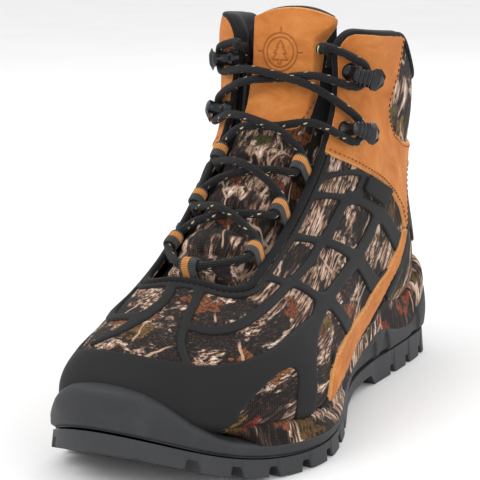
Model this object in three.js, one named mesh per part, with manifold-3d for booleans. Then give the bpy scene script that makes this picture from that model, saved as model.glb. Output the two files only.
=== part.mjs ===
// A left insulated hunting boot, built from its separate pieces.
// Millimetres, +Z up, toe towards -Y, outer side of the foot towards +X, sole on Z = 0.
import * as THREE from "three";
import { mergeVertices } from "three/addons/utils/BufferGeometryUtils.js";
import Module from "manifold-3d";

const wasm = await Module();
wasm.setup();

// ---------------------------------------------------------------- driving dimensions

// Every layer of the upper lies between two offsets from the outside of the fabric.
const LAYER = {
  fabric: [-1.8, 0],
  stiffener: [-3.6, -2.1],
  insulation: [-6, -3.9],
  lining: [-7.5, -6.3],
  tongueWing: [-14, -8.1],
  tongueCrown: [-14, -1.8],
  tongueLeather: [-1.5, -0.2],
  overlay: [0.3, 1.5],
  placket: [0.3, 1.8],
  leather: [0.3, 2],
};
const GAP = 0.3;
const FOOTBED_OFFSET = -7.8;
const FOOTBED_THICKNESS = 5;
const BAND_OFFSET = 4;
const WALL_OFFSET = 4.5;
const CLEAR_OF_OVERLAYS = LAYER.leather[1] + GAP;

// The throat is a straight-sided slot down the front, seen from ahead.
const THROAT = { outer: 25, inner: -30 };
const PLACKET_WIDTH = 4;
const PLACKET_TOP = 138;
const FRAME_WIDTH = 3.5;
const CROWN_SIDE_GAP = 6.2;
const TONGUE_WINGS = { outer: 28, inner: -34 };
const TONGUE_TOP = { x: 3, z: 213, radius: 52, halfTurn: 0.75 };
const TONGUE_FRONT = -67;
const TONGUE_LEATHER_BOTTOM = 149;

// The collar's rim lies in one plane, higher at the inner side and at the front, and dips at the back.
const RIM = { z: 206.8, slopeX: 0.09, slopeY: 0.08 };
const RIM_DIP = [[86, 230], [90, 202], [94, 196], [100, 189], [106, 182], [112, 176], [120, 170],
  [130, 167], [170, 166]];
const BINDING_HEIGHT = 6;

const TREAD_DEPTH = 5;
const PLATE_TOP = 9;
const PLATE_INSET = 1.5;
const TOE_SPRING = { start: -85, rise: 0.0044 };
const GROOVE_WIDTH = 6;
// Cross grooves of the forefoot and of the heel, leaning back and forth towards the edges.
const CROSS_GROOVES = [
  { first: -134, end: -10, pitch: 20, lean: 7 },
  { first: 84, end: 140, pitch: 22, lean: -5 },
];
const LONG_GROOVES = { at: [-22, 24], front: -118, back: -14, depth: 4 };
const WELT_DEPTH = 3;
const RAND = { height: 8, inset: 1.5, front: -92 };

// Where the fabric's pieces are sewn together, and the reach of the hidden stiffeners.
const VAMP_SEAM = -45;
const HEEL_SEAM = 100;
const COLLAR_SEAM = 132;
const INSOLE_BOARD = { front: -138, height: 6.5 };
const TOE_PUFF = { back: -108, bottom: 33 };
const HEEL_COUNTER = { front: 112, bottom: 60, top: 104 };
const INSULATION_INSET = 14;
const LINING_INSET = 12;
const LACE_RADIUS = 2.3;
const AGLET = { radius: 1.5, length: 11 };

// Each station is a slice across the foot, fanning from upright at the toe to level at the collar:
// front point y, z; back point y, z; front x, back x; half widths outwards and inwards;
// how square the front and back halves are; where the slice is widest, as a share from front to back.
const STATIONS = [
  [-147, 44, -147, 31, -10, -10, 3, 3, 2.2, 3.0, 0.56],
  [-144, 54, -144, 28, -10, -10, 23, 19, 2.0, 3.0, 0.58],
  [-135, 63, -135, 25, -9, -9, 38, 30, 2.0, 3.2, 0.62],
  [-119, 70, -119, 22, -7, -6, 49, 39, 2.0, 3.4, 0.68],
  [-96, 77, -96, 20, -5, -1, 58, 47, 2.2, 3.6, 0.74],
  [-71, 87, -67, 19, -4, 4, 61, 51, 2.1, 3.8, 0.78],
  [-47, 101, -28, 19, -4, 4, 58, 53, 2.0, 3.8, 0.78],
  [-23, 117, 16, 21, -4, 2, 51, 53, 2.1, 3.6, 0.7],
  [-3, 133, 66, 26, -4, 0, 46, 51, 2.3, 3.4, 0.6],
  [12, 147, 126, 31, -3, 0, 43.5, 51, 2.6, 3.6, 0.54],
  [22, 160, 149, 40, -3, 0, 42, 50, 2.8, 2.9, 0.52],
  [28, 172, 155, 76, -3, 0, 40, 50, 3.0, 2.0, 0.48],
  [31, 182, 150, 110, -3, 0, 41, 50, 3.0, 2.1, 0.46],
  [32, 191, 143, 148, -3, 0, 44, 51, 3.0, 2.5, 0.46],
  [33, 201, 139, 192, -3, 0, 43, 50.5, 3.0, 2.5, 0.46],
  [34, 216, 138, 210, -3, 0, 43, 46, 3.0, 2.5, 0.46],
];
const RINGS = [0, 0.5, 1, 2, 3, 4, 5, 6, 7, 8, 9, 9.6, 10.2, 10.9, 12, 13.5, 15];
const RING_POINTS = 20;

// Plan of the sole's side wall, anticlockwise from the toe tip.
const SOLE_PLAN = [
  [-8, -153], [14, -149], [33, -138], [48, -119], [59, -99], [67, -80], [69, -60], [63, -33],
  [51, 0], [43, 30], [41, 60], [42, 90], [42, 120], [39, 142], [25, 156], [2, 160],
  [-21, 156], [-37, 142], [-41, 118], [-41, 80], [-42, 40], [-46, 0], [-52, -35], [-56, -62],
  [-57, -86], [-55, -106], [-52, -122], [-44, -137], [-28, -149],
];
// Heights along the length: where the rubber wall ends, and the underside of the upper.
const WALL_TOP = [[-160, 52], [-153, 51], [-149, 48], [-145, 43.5], [-141, 38.5], [-137, 33.5],
  [-127, 25.5], [-120, 22], [-110, 19], [-100, 17.2], [-80, 15.7], [-50, 14.4], [-15, 16.5], [25, 20],
  [50, 26], [62, 30], [70, 31.5], [82, 29.5], [94, 26.5], [105, 25], [115, 25], [122, 28], [130, 34],
  [140, 42], [165, 47]];
const FOOT_FLOOR = [[-147, 31], [-135, 25], [-119, 22], [-96, 20], [-28, 19], [16, 21], [66, 26],
  [126, 31], [140, 35], [158, 48]];

// Side views of the overlays, as y, z.
const LEATHER_FLAP = [[0, 230], [12, 141], [19, 139], [25, 135], [36, 130], [51, 123], [71, 114],
  [87, 104], [97, 95], [100, 88], [102, 83], [103.5, 83], [107, 85], [110, 94], [114, 102], [118, 110],
  [121, 114], [170, 118], [170, 130], [119, 129.5], [101, 133], [88, 140], [81, 149], [79, 157],
  [81, 167], [87, 178], [92, 188], [97, 194], [104, 230]];
const STRIP = [[97, 82], [90, 75], [73, 65], [50, 59], [33, 53], [4, 50], [-21, 47], [-37, 44], [-47, 39],
  [-55, 28], [-51, 26], [-48, 28], [-34, 32], [-13, 36], [6, 40], [36, 43], [58, 49], [74, 57], [88, 64],
  [98, 73], [104, 82]];
const HEEL_OVERLAY = [[103, 81], [104, 84], [108, 86], [111.5, 94.5], [115.5, 102.5], [119.5, 111.3],
  [170, 117], [170, 72], [134, 68], [120, 72], [115, 80], [111, 82], [109, 74], [104, 66], [94, 58],
  [84, 50], [76, 46], [70, 50], [80, 56], [92, 64], [99, 72]];
const WEB_EDGE = [[-45, 125], [-10, 138], [8, 126], [16, 127], [28, 127], [49, 124], [56, 112], [62, 102],
  [77, 95], [96, 84], [95, 76], [74, 60], [50, 52], [33, 47], [4, 44], [-21, 40], [-37, 36], [-45, 34]];
const WEB_WINDOWS = [
  [[0, 116], [20, 110], [-1, 97], [-21, 102]],
  [[21, 107], [51, 96], [30, 83], [3, 95]],
  [[55, 89], [71, 78], [53, 73], [36, 80]],
  [[-27, 99], [-13, 95], [-41, 84], [-52, 88]],
  [[-11, 91], [12, 81], [-20, 72], [-37, 83]],
  [[18, 75], [34, 59], [4, 53], [-13, 68]],
  [[9, 119], [18, 122], [42, 121], [34, 114]],
  [[41, 114], [58, 108], [61, 105], [35, 112]],
];
// This window runs from the web down into the toe cap.
const LOW_WINDOW = [[-33, 64], [-24, 50], [-38, 46], [-46, 40], [-56, 28], [-59, 24], [-70, 26], [-64, 44],
  [-57, 53], [-46, 59]];
const TOE_CAP_EDGE = [[-160, 66], [-135, 63], [-132, 61], [-125, 58], [-116, 57], [-106, 57], [-91, 59],
  [-81, 61], [-62, 65], [-50, 66], [-45, 67]];
const TOE_CAP_WINDOW = [[-115, 35], [-109, 41], [-100, 46], [-89, 50], [-81, 50], [-79, 47], [-79, 41],
  [-82, 33], [-85, 28], [-95, 27], [-106, 28], [-115, 30]];
const TAG = [[52, 121], [83, 108], [68, 101], [43, 114]];
const TAG_THICKNESS = 0.9;
// Plan views of the moulded ribs across the vamp, as x, y.
const VAMP_RIBS = [
  [[-10, -76], [-7, -88], [-8, -104], [-12, -118], [-20, -128], [-27, -132]],
  [[7, -76], [9, -90], [12, -104], [17, -117], [24, -127], [30, -131]],
  [[13, -110], [23, -107], [29, -102], [35, -92], [37, -83], [40, -68], [41, -50]],
  [[-41, -50], [-38, -75], [-34, -90], [-28, -101], [-20, -107], [-9, -109]],
];
const RIB_WIDTH = 5;

// Lace hardware, each placed by a station along the throat.
const LOOP_STATIONS = { bottom: 5.1, outer: [5.9, 7.05, 8.25], inner: [5.95, 7.05, 8.3] };
const LOOP = { inset: 4.4, height: 4, tail: 8, wall: 1.2, width: 9, play: 0.4 };
const HOOK_STATIONS = { outer: [10.12, 12.35], inner: [10.1, 12.4] };
const HOOK_X = { outer: [31, 32], inner: [-33.5, -33.5] };
// How far the inner hooks are bent back round the leg, as the leather is there.
const HOOK_TURN = { outer: 0, inner: 0.5 };
const HOOK = { width: 7, postHalf: 2.2, plateTop: 4.5, armUnder: 10.3, armThickness: 2.2 };
// The hook's arm from above: x away from the throat, half width.
const HOOK_ARM = [[-3.5, 3], [-1, 4], [7, 4.8], [9, 6], [12, 6], [15.5, 2.6]];
const HOOK_LACE_HEIGHT = 7.3;
const CROSSING = { low: [3.6, 3, 3.6], high: [5.4, 8.4, 5.4] };
const HOOK_CROSSING = { low: [8.2, 3.2, 8], high: [8.2, 8.6, 8.2] };

const COLOURS = {
  leather: ["#c98244", 0.8, 0],
  moulding: ["#1b1b1c", 0.65, 0],
  rubber: ["#26272a", 0.55, 0],
  foam: ["#3a3b3d", 0.8, 0],
  camo: ["#6d5646", 0.9, 0],
  lining: ["#141415", 0.95, 0],
  wadding: ["#d8d4c8", 1, 0],
  board: ["#b7a58a", 0.9, 0],
  webbing: ["#1f1f21", 0.85, 0],
  metal: ["#101113", 0.3, 0.8],
  lace: ["#17171a", 0.85, 0],
  tag: ["#0e0e10", 0.7, 0],
};

// ---------------------------------------------------------------- the upper's surface

// The station at a fractional index, by a spline through the stations.
function stationAt(v) {
  const last = STATIONS.length - 1;
  const i = Math.min(Math.max(Math.floor(v), 0), last - 1);
  const t = v - i;
  const reflect = (p, q) => p.map((value, k) => 2 * value - q[k]);
  const before = i > 0 ? STATIONS[i - 1] : reflect(STATIONS[0], STATIONS[1]);
  const after = i + 2 <= last ? STATIONS[i + 2] : reflect(STATIONS[last], STATIONS[last - 1]);
  return STATIONS[i].map((b, k) => {
    const a = before[k];
    const c = STATIONS[i + 1][k];
    const d = after[k];
    return 0.5 * (2 * b + (c - a) * t + (2 * a - 5 * b + 4 * c - d) * t * t
      + (3 * b - a - 3 * c + d) * t * t * t);
  });
}

// A point of the fabric's outside. The angle runs from 0 at the front to 1 at the back, outer side
// positive.
function surfacePoint(v, angle) {
  const [frontY, frontZ, backY, backZ, frontX, backX, outer, inner, squareFront, squareBack, widest] =
    stationAt(v);
  const turn = angle > 1 ? angle - 2 : angle < -1 ? angle + 2 : angle;
  const a = Math.abs(turn) * Math.PI;
  const inFront = a <= Math.PI / 2;
  const power = 2 / (inFront ? squareFront : squareBack);
  const side = Math.abs(Math.sin(a)) ** power;
  const along = Math.abs(Math.cos(a)) ** power;
  const share = inFront ? widest * (1 - along) : widest + (1 - widest) * along;
  const half = turn >= 0 ? outer : -inner;
  return new THREE.Vector3(
    frontX + (backX - frontX) * share + half * side,
    frontY + (backY - frontY) * share,
    frontZ + (backZ - frontZ) * share,
  );
}

// Outward normal, the direction along the stations, and the direction round the foot.
function surfaceFrame(v, angle) {
  const step = 0.02;
  const low = Math.max(v - step, 0);
  const high = Math.min(v + step, STATIONS.length - 1);
  const round = surfacePoint(v, angle + step).sub(surfacePoint(v, angle - step)).normalize();
  const along = surfacePoint(high, angle).sub(surfacePoint(low, angle)).normalize();
  const normal = round.clone().cross(along).normalize();
  return { normal, along: normal.clone().cross(round).normalize(), round };
}

function liftedPoint([v, angle, lift]) {
  return surfacePoint(v, angle).addScaledVector(surfaceFrame(v, angle).normal, lift);
}

// The angle at which a station's front half reaches a given x.
function angleAt(v, x) {
  const side = Math.sign(x - surfacePoint(v, 0).x) || 1;
  let [low, high] = [0, 0.5];
  for (let turn = 0; turn < 30; turn++) {
    const middle = (low + high) / 2;
    if (side * (surfacePoint(v, side * middle).x - x) < 0) low = middle;
    else high = middle;
  }
  return side * low;
}

const pointAcross = (v, x, lift) => liftedPoint([v, angleAt(v, x), lift]);

// ---------------------------------------------------------------- solids

function solidOf(geometry) {
  const bare = geometry.clone();
  bare.deleteAttribute("normal");
  bare.deleteAttribute("uv");
  const merged = mergeVertices(bare, 1e-4);
  return new wasm.Manifold(new wasm.Mesh({
    numProp: 3,
    vertProperties: new Float32Array(merged.attributes.position.array),
    triVerts: new Uint32Array(merged.index.array),
  }));
}

function geometryOf(solid) {
  const mesh = solid.getMesh();
  const geometry = new THREE.BufferGeometry();
  geometry.setAttribute("position", new THREE.BufferAttribute(mesh.vertProperties, 3));
  geometry.setIndex(new THREE.BufferAttribute(mesh.triVerts, 1));
  geometry.computeVertexNormals();
  return geometry;
}

// The whole foot shape grown by an offset. All offsets share one grid, so layers stay parallel.
const grownFeet = new Map();
function foot(offset) {
  if (grownFeet.has(offset)) return grownFeet.get(offset);
  const points = [];
  for (const v of RINGS)
    for (let j = 0; j < RING_POINTS; j++)
      points.push(liftedPoint([v, -1 + (2 * j) / RING_POINTS, offset]));
  const ring = (i) => points.slice(i * RING_POINTS, (i + 1) * RING_POINTS);
  const middle = (ringPoints) =>
    ringPoints.reduce((sum, p) => sum.add(p), new THREE.Vector3()).divideScalar(ringPoints.length);
  const toe = points.push(middle(ring(0))) - 1;
  const top = points.push(middle(ring(RINGS.length - 1))) - 1;
  const faces = [];
  for (let j = 0; j < RING_POINTS; j++) {
    const next = (j + 1) % RING_POINTS;
    for (let i = 0; i < RINGS.length - 1; i++) {
      const a = i * RING_POINTS + j;
      const b = i * RING_POINTS + next;
      faces.push(a, b, b + RING_POINTS, a, b + RING_POINTS, a + RING_POINTS);
    }
    const lastRing = (RINGS.length - 1) * RING_POINTS;
    faces.push(toe, next, j, top, lastRing + j, lastRing + next);
  }
  const geometry = new THREE.BufferGeometry().setFromPoints(points);
  geometry.setIndex(faces);
  grownFeet.set(offset, solidOf(geometry));
  return grownFeet.get(offset);
}

const shell = ([inside, outside]) => foot(outside).subtract(foot(inside));

function outline(points) {
  return new THREE.Shape(points.map(([x, y]) => new THREE.Vector2(x, y)));
}

// An outline given as x, y, carried up Z.
function planPrism(shape, low, high) {
  const geometry = new THREE.ExtrudeGeometry(shape, { depth: high - low, bevelEnabled: false });
  return solidOf(geometry.translate(0, 0, low));
}

// An outline given as y, z, carried along X.
function sidePrism(points, low, high) {
  const geometry = new THREE.ExtrudeGeometry(outline(points), { depth: high - low, bevelEnabled: false });
  const swap = new THREE.Matrix4().makeBasis(
    new THREE.Vector3(0, 1, 0), new THREE.Vector3(0, 0, 1), new THREE.Vector3(1, 0, 0));
  return solidOf(geometry.applyMatrix4(swap).translate(low, 0, 0));
}

// An outline given as x, z, carried along -Y.
function frontPrism(points, near, far) {
  const geometry = new THREE.ExtrudeGeometry(outline(points), { depth: far - near, bevelEnabled: false });
  const swap = new THREE.Matrix4().makeBasis(
    new THREE.Vector3(1, 0, 0), new THREE.Vector3(0, 0, 1), new THREE.Vector3(0, -1, 0));
  return solidOf(geometry.applyMatrix4(swap).translate(0, far, 0));
}

// The outline round a line of points, half a width to each side.
function ribbon(points, width) {
  const line = points.map(([x, y]) => new THREE.Vector2(x, y));
  const side = line.map((p, i) => {
    const ahead = line[Math.min(i + 1, line.length - 1)];
    const behind = line[Math.max(i - 1, 0)];
    const along = ahead.clone().sub(behind).normalize();
    return new THREE.Vector2(-along.y, along.x).multiplyScalar(width / 2);
  });
  return [
    ...line.map((p, i) => p.clone().sub(side[i])),
    ...line.map((p, i) => p.clone().add(side[i])).reverse(),
  ].map((p) => [p.x, p.y]);
}

const allOf = (solids) => solids.reduce((sum, one) => sum.add(one));

// The one body that matters, without slivers that a cut may leave.
function mainBody(solid) {
  return solid.decompose().sort((a, b) => b.volume() - a.volume())[0];
}

const OUTER = [0, 120];
const BOTH = [-120, 120];

const outerSide = (solid) => solid.trimByPlane([1, 0, 0], GAP / 2);
const innerSide = (solid) => solid.trimByPlane([-1, 0, 0], GAP / 2);
const ahead = (solid, y) => solid.trimByPlane([0, -1, 0], -y + GAP / 2);
const behind = (solid, y) => solid.trimByPlane([0, 1, 0], y + GAP / 2);
const above = (solid, z) => solid.trimByPlane([0, 0, 1], z + GAP / 2);
const below = (solid, z) => solid.trimByPlane([0, 0, -1], -z + GAP / 2);

// All that lies a distance under the rim.
function underRimSpace(down) {
  const side = sidePrism([[-200, -10], [-200, 230], ...RIM_DIP, [170, -10]].map(([y, z]) => [y, z - down]),
    ...BOTH);
  const reach = (RIM.z - down) / Math.hypot(RIM.slopeX, RIM.slopeY, 1);
  return side.trimByPlane([-RIM.slopeX, -RIM.slopeY, -1], -reach);
}
const underRim = (solid, down) => solid.intersect(underRimSpace(down));
const overRim = (solid, down) => solid.subtract(underRimSpace(down));

// The slot of the throat, grown sideways and downwards. It reaches well past the front wall.
function throat(grow, outer = THROAT.outer + grow, inner = THROAT.inner - grow) {
  const slotSide = [
    [-76 - grow, 120], [-76 - grow, 88 - 0.6 * grow], [-62 - 0.6 * grow, 66 - grow], [-30, 76], [0, 104],
    [24, 130], [46, 168], [54, 190], [56, 240], [-40, 240],
  ];
  return sidePrism(slotSide, inner, outer);
}

// Heights along the length as one outline, between a lower and an upper line.
function heightBand(lower, upper) {
  return [...lower, ...upper.slice().reverse()];
}
const raised = (line, by) => line.map(([y, z]) => [y, z + by]);

const PLAN_POINTS = 58;

function solePlan(inset) {
  const corners = SOLE_PLAN.map(([x, y]) => new THREE.Vector3(x, y, 0));
  const line = new THREE.CatmullRomCurve3(corners, true, "catmullrom", 0.5).getPoints(PLAN_POINTS);
  line.pop();
  const inwards = line.map((p, i) => {
    const next = line[(i + 1) % line.length];
    const previous = line[(i + line.length - 1) % line.length];
    const along = next.clone().sub(previous).normalize();
    return new THREE.Vector2(p.x - along.y * inset, p.y + along.x * inset);
  });
  return new THREE.Shape(inwards);
}

// ---------------------------------------------------------------- the object

const boot = new THREE.Group();

function addPart(name, solid, [colour, roughness, metalness]) {
  const material = new THREE.MeshStandardMaterial({ color: colour, roughness, metalness });
  const mesh = new THREE.Mesh(geometryOf(mainBody(solid)), material);
  mesh.name = name;
  boot.add(mesh);
}

// ---- sole

const spring = (y) => TOE_SPRING.rise * Math.max(TOE_SPRING.start - y, 0) ** 2;
const springLine = [-160, -150, -140, -130, -120, -110, -100, -85].map((y) => [y, spring(y)]);
const TREAD_LINE = [...springLine, [-8, 0], [0, 6], [56, 7], [62, 0], [140, 0], [165, 6]];
const PLATE_LINE = [...raised(springLine, PLATE_TOP), [-8, 9], [10, 10.5], [50, 13], [70, 14], [165, 15]];
const weltLine = raised(WALL_TOP, -WELT_DEPTH);

// What the shank fills between the midsole and the upper, under the waist of the foot.
const SHANK_PLAN = [[-9, -30], [9, -30], [8, 20], [7, 72], [-9, 72], [-9, 20]];
const shankSpace = (grow) => {
  const plan = SHANK_PLAN.map(([x, y]) => [x + Math.sign(x) * grow, y + (y > 0 ? grow : -grow)]);
  return planPrism(outline(plan), 5, 40);
};

function outsole() {
  const plate = planPrism(solePlan(PLATE_INSET), -5, 40)
    .intersect(sidePrism(heightBand(TREAD_LINE, PLATE_LINE), ...BOTH));
  const grooves = [];
  for (const { first, end, pitch, lean } of CROSS_GROOVES) {
    for (let y = first; y < end; y += pitch) {
      const band = ribbon([[-80, y - lean], [-20, y], [20, y], [80, y - lean]], GROOVE_WIDTH);
      grooves.push(planPrism(outline(band), spring(y) - 6, spring(y) + TREAD_DEPTH));
    }
  }
  const { front, back, depth } = LONG_GROOVES;
  const grooveSide = [[front, 0], [front, depth], [TOE_SPRING.start, depth], [back, depth], [back, -depth],
    [TOE_SPRING.start, -depth]];
  for (const x of LONG_GROOVES.at)
    grooves.push(sidePrism(grooveSide, x - GROOVE_WIDTH / 2, x + GROOVE_WIDTH / 2));
  return plate.subtract(allOf(grooves));
}

function midsole() {
  const bottom = raised(PLATE_LINE, GAP);
  const outside = planPrism(solePlan(0), -5, 80).add(foot(WALL_OFFSET));
  const wall = outside.intersect(sidePrism(heightBand(bottom, WALL_TOP), ...BOTH));
  const overlayRoom = foot(CLEAR_OF_OVERLAYS)
    .intersect(sidePrism(heightBand(raised(weltLine, -GAP), raised(weltLine, 60)), ...BOTH));
  const shankRoom = foot(CLEAR_OF_OVERLAYS + GAP).intersect(shankSpace(GAP));
  return wall.subtract(foot(GAP)).subtract(overlayRoom).subtract(shankRoom);
}

// The fabric-covered band above the rubber wall, from the ball of the foot round the heel.
function rand() {
  const band = heightBand(raised(WALL_TOP, GAP), raised(WALL_TOP, RAND.height));
  const outside = planPrism(solePlan(RAND.inset), 0, 80).add(foot(BAND_OFFSET));
  return behind(outside.intersect(sidePrism(band, ...BOTH)), RAND.front)
    .subtract(foot(CLEAR_OF_OVERLAYS));
}

addPart("outsole", outsole(), COLOURS.rubber);
addPart("midsole", midsole(), COLOURS.rubber);
addPart("rand_outer", outerSide(rand()), COLOURS.camo);
addPart("rand_inner", innerSide(rand()), COLOURS.camo);
addPart("shank", shell([GAP, LAYER.leather[1]]).intersect(shankSpace(0)), COLOURS.metal);

// ---- inside of the foot

const soleRegion = (height) => sidePrism(
  heightBand([[-160, 0], [170, 0]], raised(FOOT_FLOOR, height)), ...BOTH);

const stiffener = shell(LAYER.stiffener);
addPart("insole_board",
  behind(stiffener.intersect(soleRegion(INSOLE_BOARD.height)), INSOLE_BOARD.front), COLOURS.board);
addPart("footbed", foot(FOOTBED_OFFSET).intersect(soleRegion(-FOOTBED_OFFSET + FOOTBED_THICKNESS)),
  COLOURS.foam);
addPart("toe_puff", above(ahead(stiffener, TOE_PUFF.back), TOE_PUFF.bottom), COLOURS.board);
const counter = behind(stiffener, HEEL_COUNTER.front);
addPart("heel_counter", below(above(counter, HEEL_COUNTER.bottom), HEEL_COUNTER.top), COLOURS.board);

const underBinding = (solid) => underRim(solid, BINDING_HEIGHT + GAP);
addPart("insulation", underBinding(shell(LAYER.insulation)).subtract(throat(INSULATION_INSET)),
  COLOURS.wadding);
addPart("lining", underBinding(shell(LAYER.lining)).subtract(throat(LINING_INSET)), COLOURS.lining);

// ---- fabric of the upper

const fabric = underBinding(shell(LAYER.fabric)).subtract(throat(0));
const quarters = ahead(behind(fabric, VAMP_SEAM), HEEL_SEAM);

addPart("vamp", ahead(fabric, VAMP_SEAM), COLOURS.camo);
addPart("quarter_outer", outerSide(quarters), COLOURS.camo);
addPart("quarter_inner", innerSide(quarters), COLOURS.camo);
addPart("heel_panel", below(behind(fabric, HEEL_SEAM), COLLAR_SEAM), COLOURS.camo);
addPart("collar_back_panel", above(behind(fabric, HEEL_SEAM), COLLAR_SEAM), COLOURS.camo);

function collarBinding() {
  const band = foot(LAYER.overlay[1]).subtract(foot(LAYER.tongueWing[1] + GAP));
  return overRim(underRim(band, 0), BINDING_HEIGHT).subtract(throat(0));
}
addPart("collar_binding", collarBinding(), COLOURS.lining);

// ---- overlays on the upper

const aboveWelt = sidePrism(heightBand(weltLine, raised(weltLine, 300)), ...BOTH);
const leatherZone = sidePrism(LEATHER_FLAP, ...BOTH);
const leather = underBinding(shell(LAYER.leather)).subtract(throat(0));
addPart("leather_flap_outer", outerSide(leather.intersect(leatherZone)), COLOURS.leather);
addPart("leather_flap_inner", innerSide(leather.intersect(leatherZone)), COLOURS.leather);

const strip = leather.intersect(sidePrism(STRIP, ...BOTH)).intersect(aboveWelt).subtract(leatherZone);
addPart("leather_strip_outer", outerSide(strip), COLOURS.leather);
addPart("leather_strip_inner", innerSide(strip), COLOURS.leather);

// The space of a piece seen from the side, and a gap all round it.
const roomOf = (points) => allOf([[0, -1], [0, 1], [-1, 0], [1, 0]].map(([dy, dz]) =>
  sidePrism(points.map(([y, z]) => [y + 2 * GAP * dy, z + 2 * GAP * dz]), ...BOTH)));

const overlay = shell(LAYER.overlay).intersect(aboveWelt).subtract(roomOf(STRIP));
const clearOfFlap = overlay.subtract(roomOf(LEATHER_FLAP));
addPart("heel_overlay", clearOfFlap.intersect(sidePrism(HEEL_OVERLAY, ...BOTH)), COLOURS.moulding);

const besidePlacket = throat(PLACKET_WIDTH + GAP);
const webWindows = allOf([...WEB_WINDOWS, LOW_WINDOW].map((points) => sidePrism(points, ...BOTH)));
const webZone = sidePrism(WEB_EDGE, ...BOTH).subtract(webWindows).subtract(besidePlacket);
const web = clearOfFlap.intersect(webZone);
addPart("web_overlay_outer", outerSide(web), COLOURS.moulding);
addPart("web_overlay_inner", innerSide(web), COLOURS.moulding);

const toeWindows = allOf([TOE_CAP_WINDOW, LOW_WINDOW].map((points) => sidePrism(points, ...BOTH)));
const toeZone = sidePrism([[-170, 0], ...TOE_CAP_EDGE, [VAMP_SEAM - GAP, 0]], ...BOTH);
addPart("toe_cap", ahead(overlay, VAMP_SEAM).intersect(toeZone).subtract(toeWindows), COLOURS.moulding);

function vampRibs() {
  const ribs = allOf(VAMP_RIBS.map((line) => planPrism(outline(ribbon(line, RIB_WIDTH)), 40, 120)));
  const zone = ribs.add(throat(PLACKET_WIDTH + FRAME_WIDTH)).subtract(besidePlacket);
  const overToe = sidePrism([...raised(TOE_CAP_EDGE, GAP), [VAMP_SEAM, 140], [-160, 140]], ...BOTH);
  return ahead(overlay, VAMP_SEAM).intersect(zone).intersect(overToe);
}
addPart("vamp_ribs", vampRibs(), COLOURS.moulding);

const placketZone = throat(PLACKET_WIDTH).subtract(throat(0)).subtract(roomOf(LEATHER_FLAP));
addPart("placket", below(shell(LAYER.placket).intersect(placketZone), PLACKET_TOP), COLOURS.moulding);

function sideTag() {
  const height = LAYER.leather[1];
  const band = foot(height + TAG_THICKNESS).subtract(foot(height + GAP));
  return band.intersect(sidePrism(TAG, ...OUTER));
}
addPart("side_tag", sideTag(), COLOURS.tag);

// ---- tongue

// A round-topped outline, seen from the front, that the tongue fills.
function tongueArch() {
  const arch = [];
  const { x, z, radius, halfTurn } = TONGUE_TOP;
  for (let step = 5; step >= -5; step--) {
    const turn = (step / 5) * halfTurn;
    arch.push([x + radius * Math.sin(turn), z - radius + radius * Math.cos(turn)]);
  }
  return frontPrism([[-60, 50], [60, 50], ...arch], -100, 100);
}

const crownSlot = throat(-CROWN_SIDE_GAP);
const wingSlot = throat(0, TONGUE_WINGS.outer, TONGUE_WINGS.inner);

function tongue() {
  const wings = shell(LAYER.tongueWing).intersect(wingSlot);
  const crown = shell(LAYER.tongueCrown).intersect(crownSlot);
  return behind(wings.add(crown).intersect(tongueArch()), TONGUE_FRONT);
}
addPart("tongue", tongue(), COLOURS.camo);
const tongueFace = shell(LAYER.tongueLeather).intersect(crownSlot).intersect(tongueArch());
addPart("tongue_leather", above(tongueFace, TONGUE_LEATHER_BOTTOM), COLOURS.leather);

// ---- lace hardware

const X = new THREE.Vector3(1, 0, 0);
const edgeX = { outer: THROAT.outer, inner: THROAT.inner };
const awayFromThroat = { outer: X, inner: X.clone().negate() };

// Axes for a fitting: x away from the throat, y up off the surface, z along the throat.
function fittingAxes(away, v, x) {
  const angle = angleAt(v, x);
  const along = surfaceFrame(v, angle).along;
  const up = along.clone().cross(X).negate().normalize();
  return new THREE.Matrix4().makeBasis(away, up, away.clone().cross(up))
    .setPosition(surfacePoint(v, angle));
}

// The x that lies a distance inside the throat's edge.
const insideEdge = (side, distance) => edgeX[side] - Math.sign(edgeX[side]) * distance;

// The bottom loop faces forwards, so its axes are turned a quarter round.
function loopAxes(place, v) {
  if (place !== "bottom") return fittingAxes(awayFromThroat[place], v, insideEdge(place, LOOP.inset));
  const { along, normal } = surfaceFrame(v, 0);
  const forwards = along.clone().negate();
  return new THREE.Matrix4().makeBasis(forwards, normal, forwards.clone().cross(normal))
    .setPosition(surfacePoint(v, 0));
}

// A webbing loop: a sleeve round the lace, with a tail sewn down inside the throat's edge.
function laceLoop(axes) {
  const inside = LACE_RADIUS + LOOP.play;
  const outside = inside + LOOP.wall;
  const shape = new THREE.Shape();
  shape.absarc(0, LOOP.height, outside, 0, Math.PI * 1.5, false);
  shape.lineTo(inside, LOOP.height - outside);
  shape.lineTo(inside, -LOOP.tail);
  shape.lineTo(outside, -LOOP.tail);
  shape.lineTo(outside, LOOP.height);
  const eye = new THREE.Path();
  eye.absarc(0, LOOP.height, inside, 0, Math.PI * 2, true);
  shape.holes.push(eye);
  const geometry = new THREE.ExtrudeGeometry(shape,
    { depth: LOOP.width, bevelEnabled: false, curveSegments: 5 });
  geometry.translate(0, 0, -LOOP.width / 2);
  return solidOf(geometry.applyMatrix4(axes));
}

addPart("lace_loop_bottom", laceLoop(loopAxes("bottom", LOOP_STATIONS.bottom)), COLOURS.webbing);
for (const side of ["outer", "inner"])
  LOOP_STATIONS[side].forEach((v, i) =>
    addPart(`lace_loop_${side}_${i + 1}`, laceLoop(loopAxes(side, v)), COLOURS.webbing));

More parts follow.
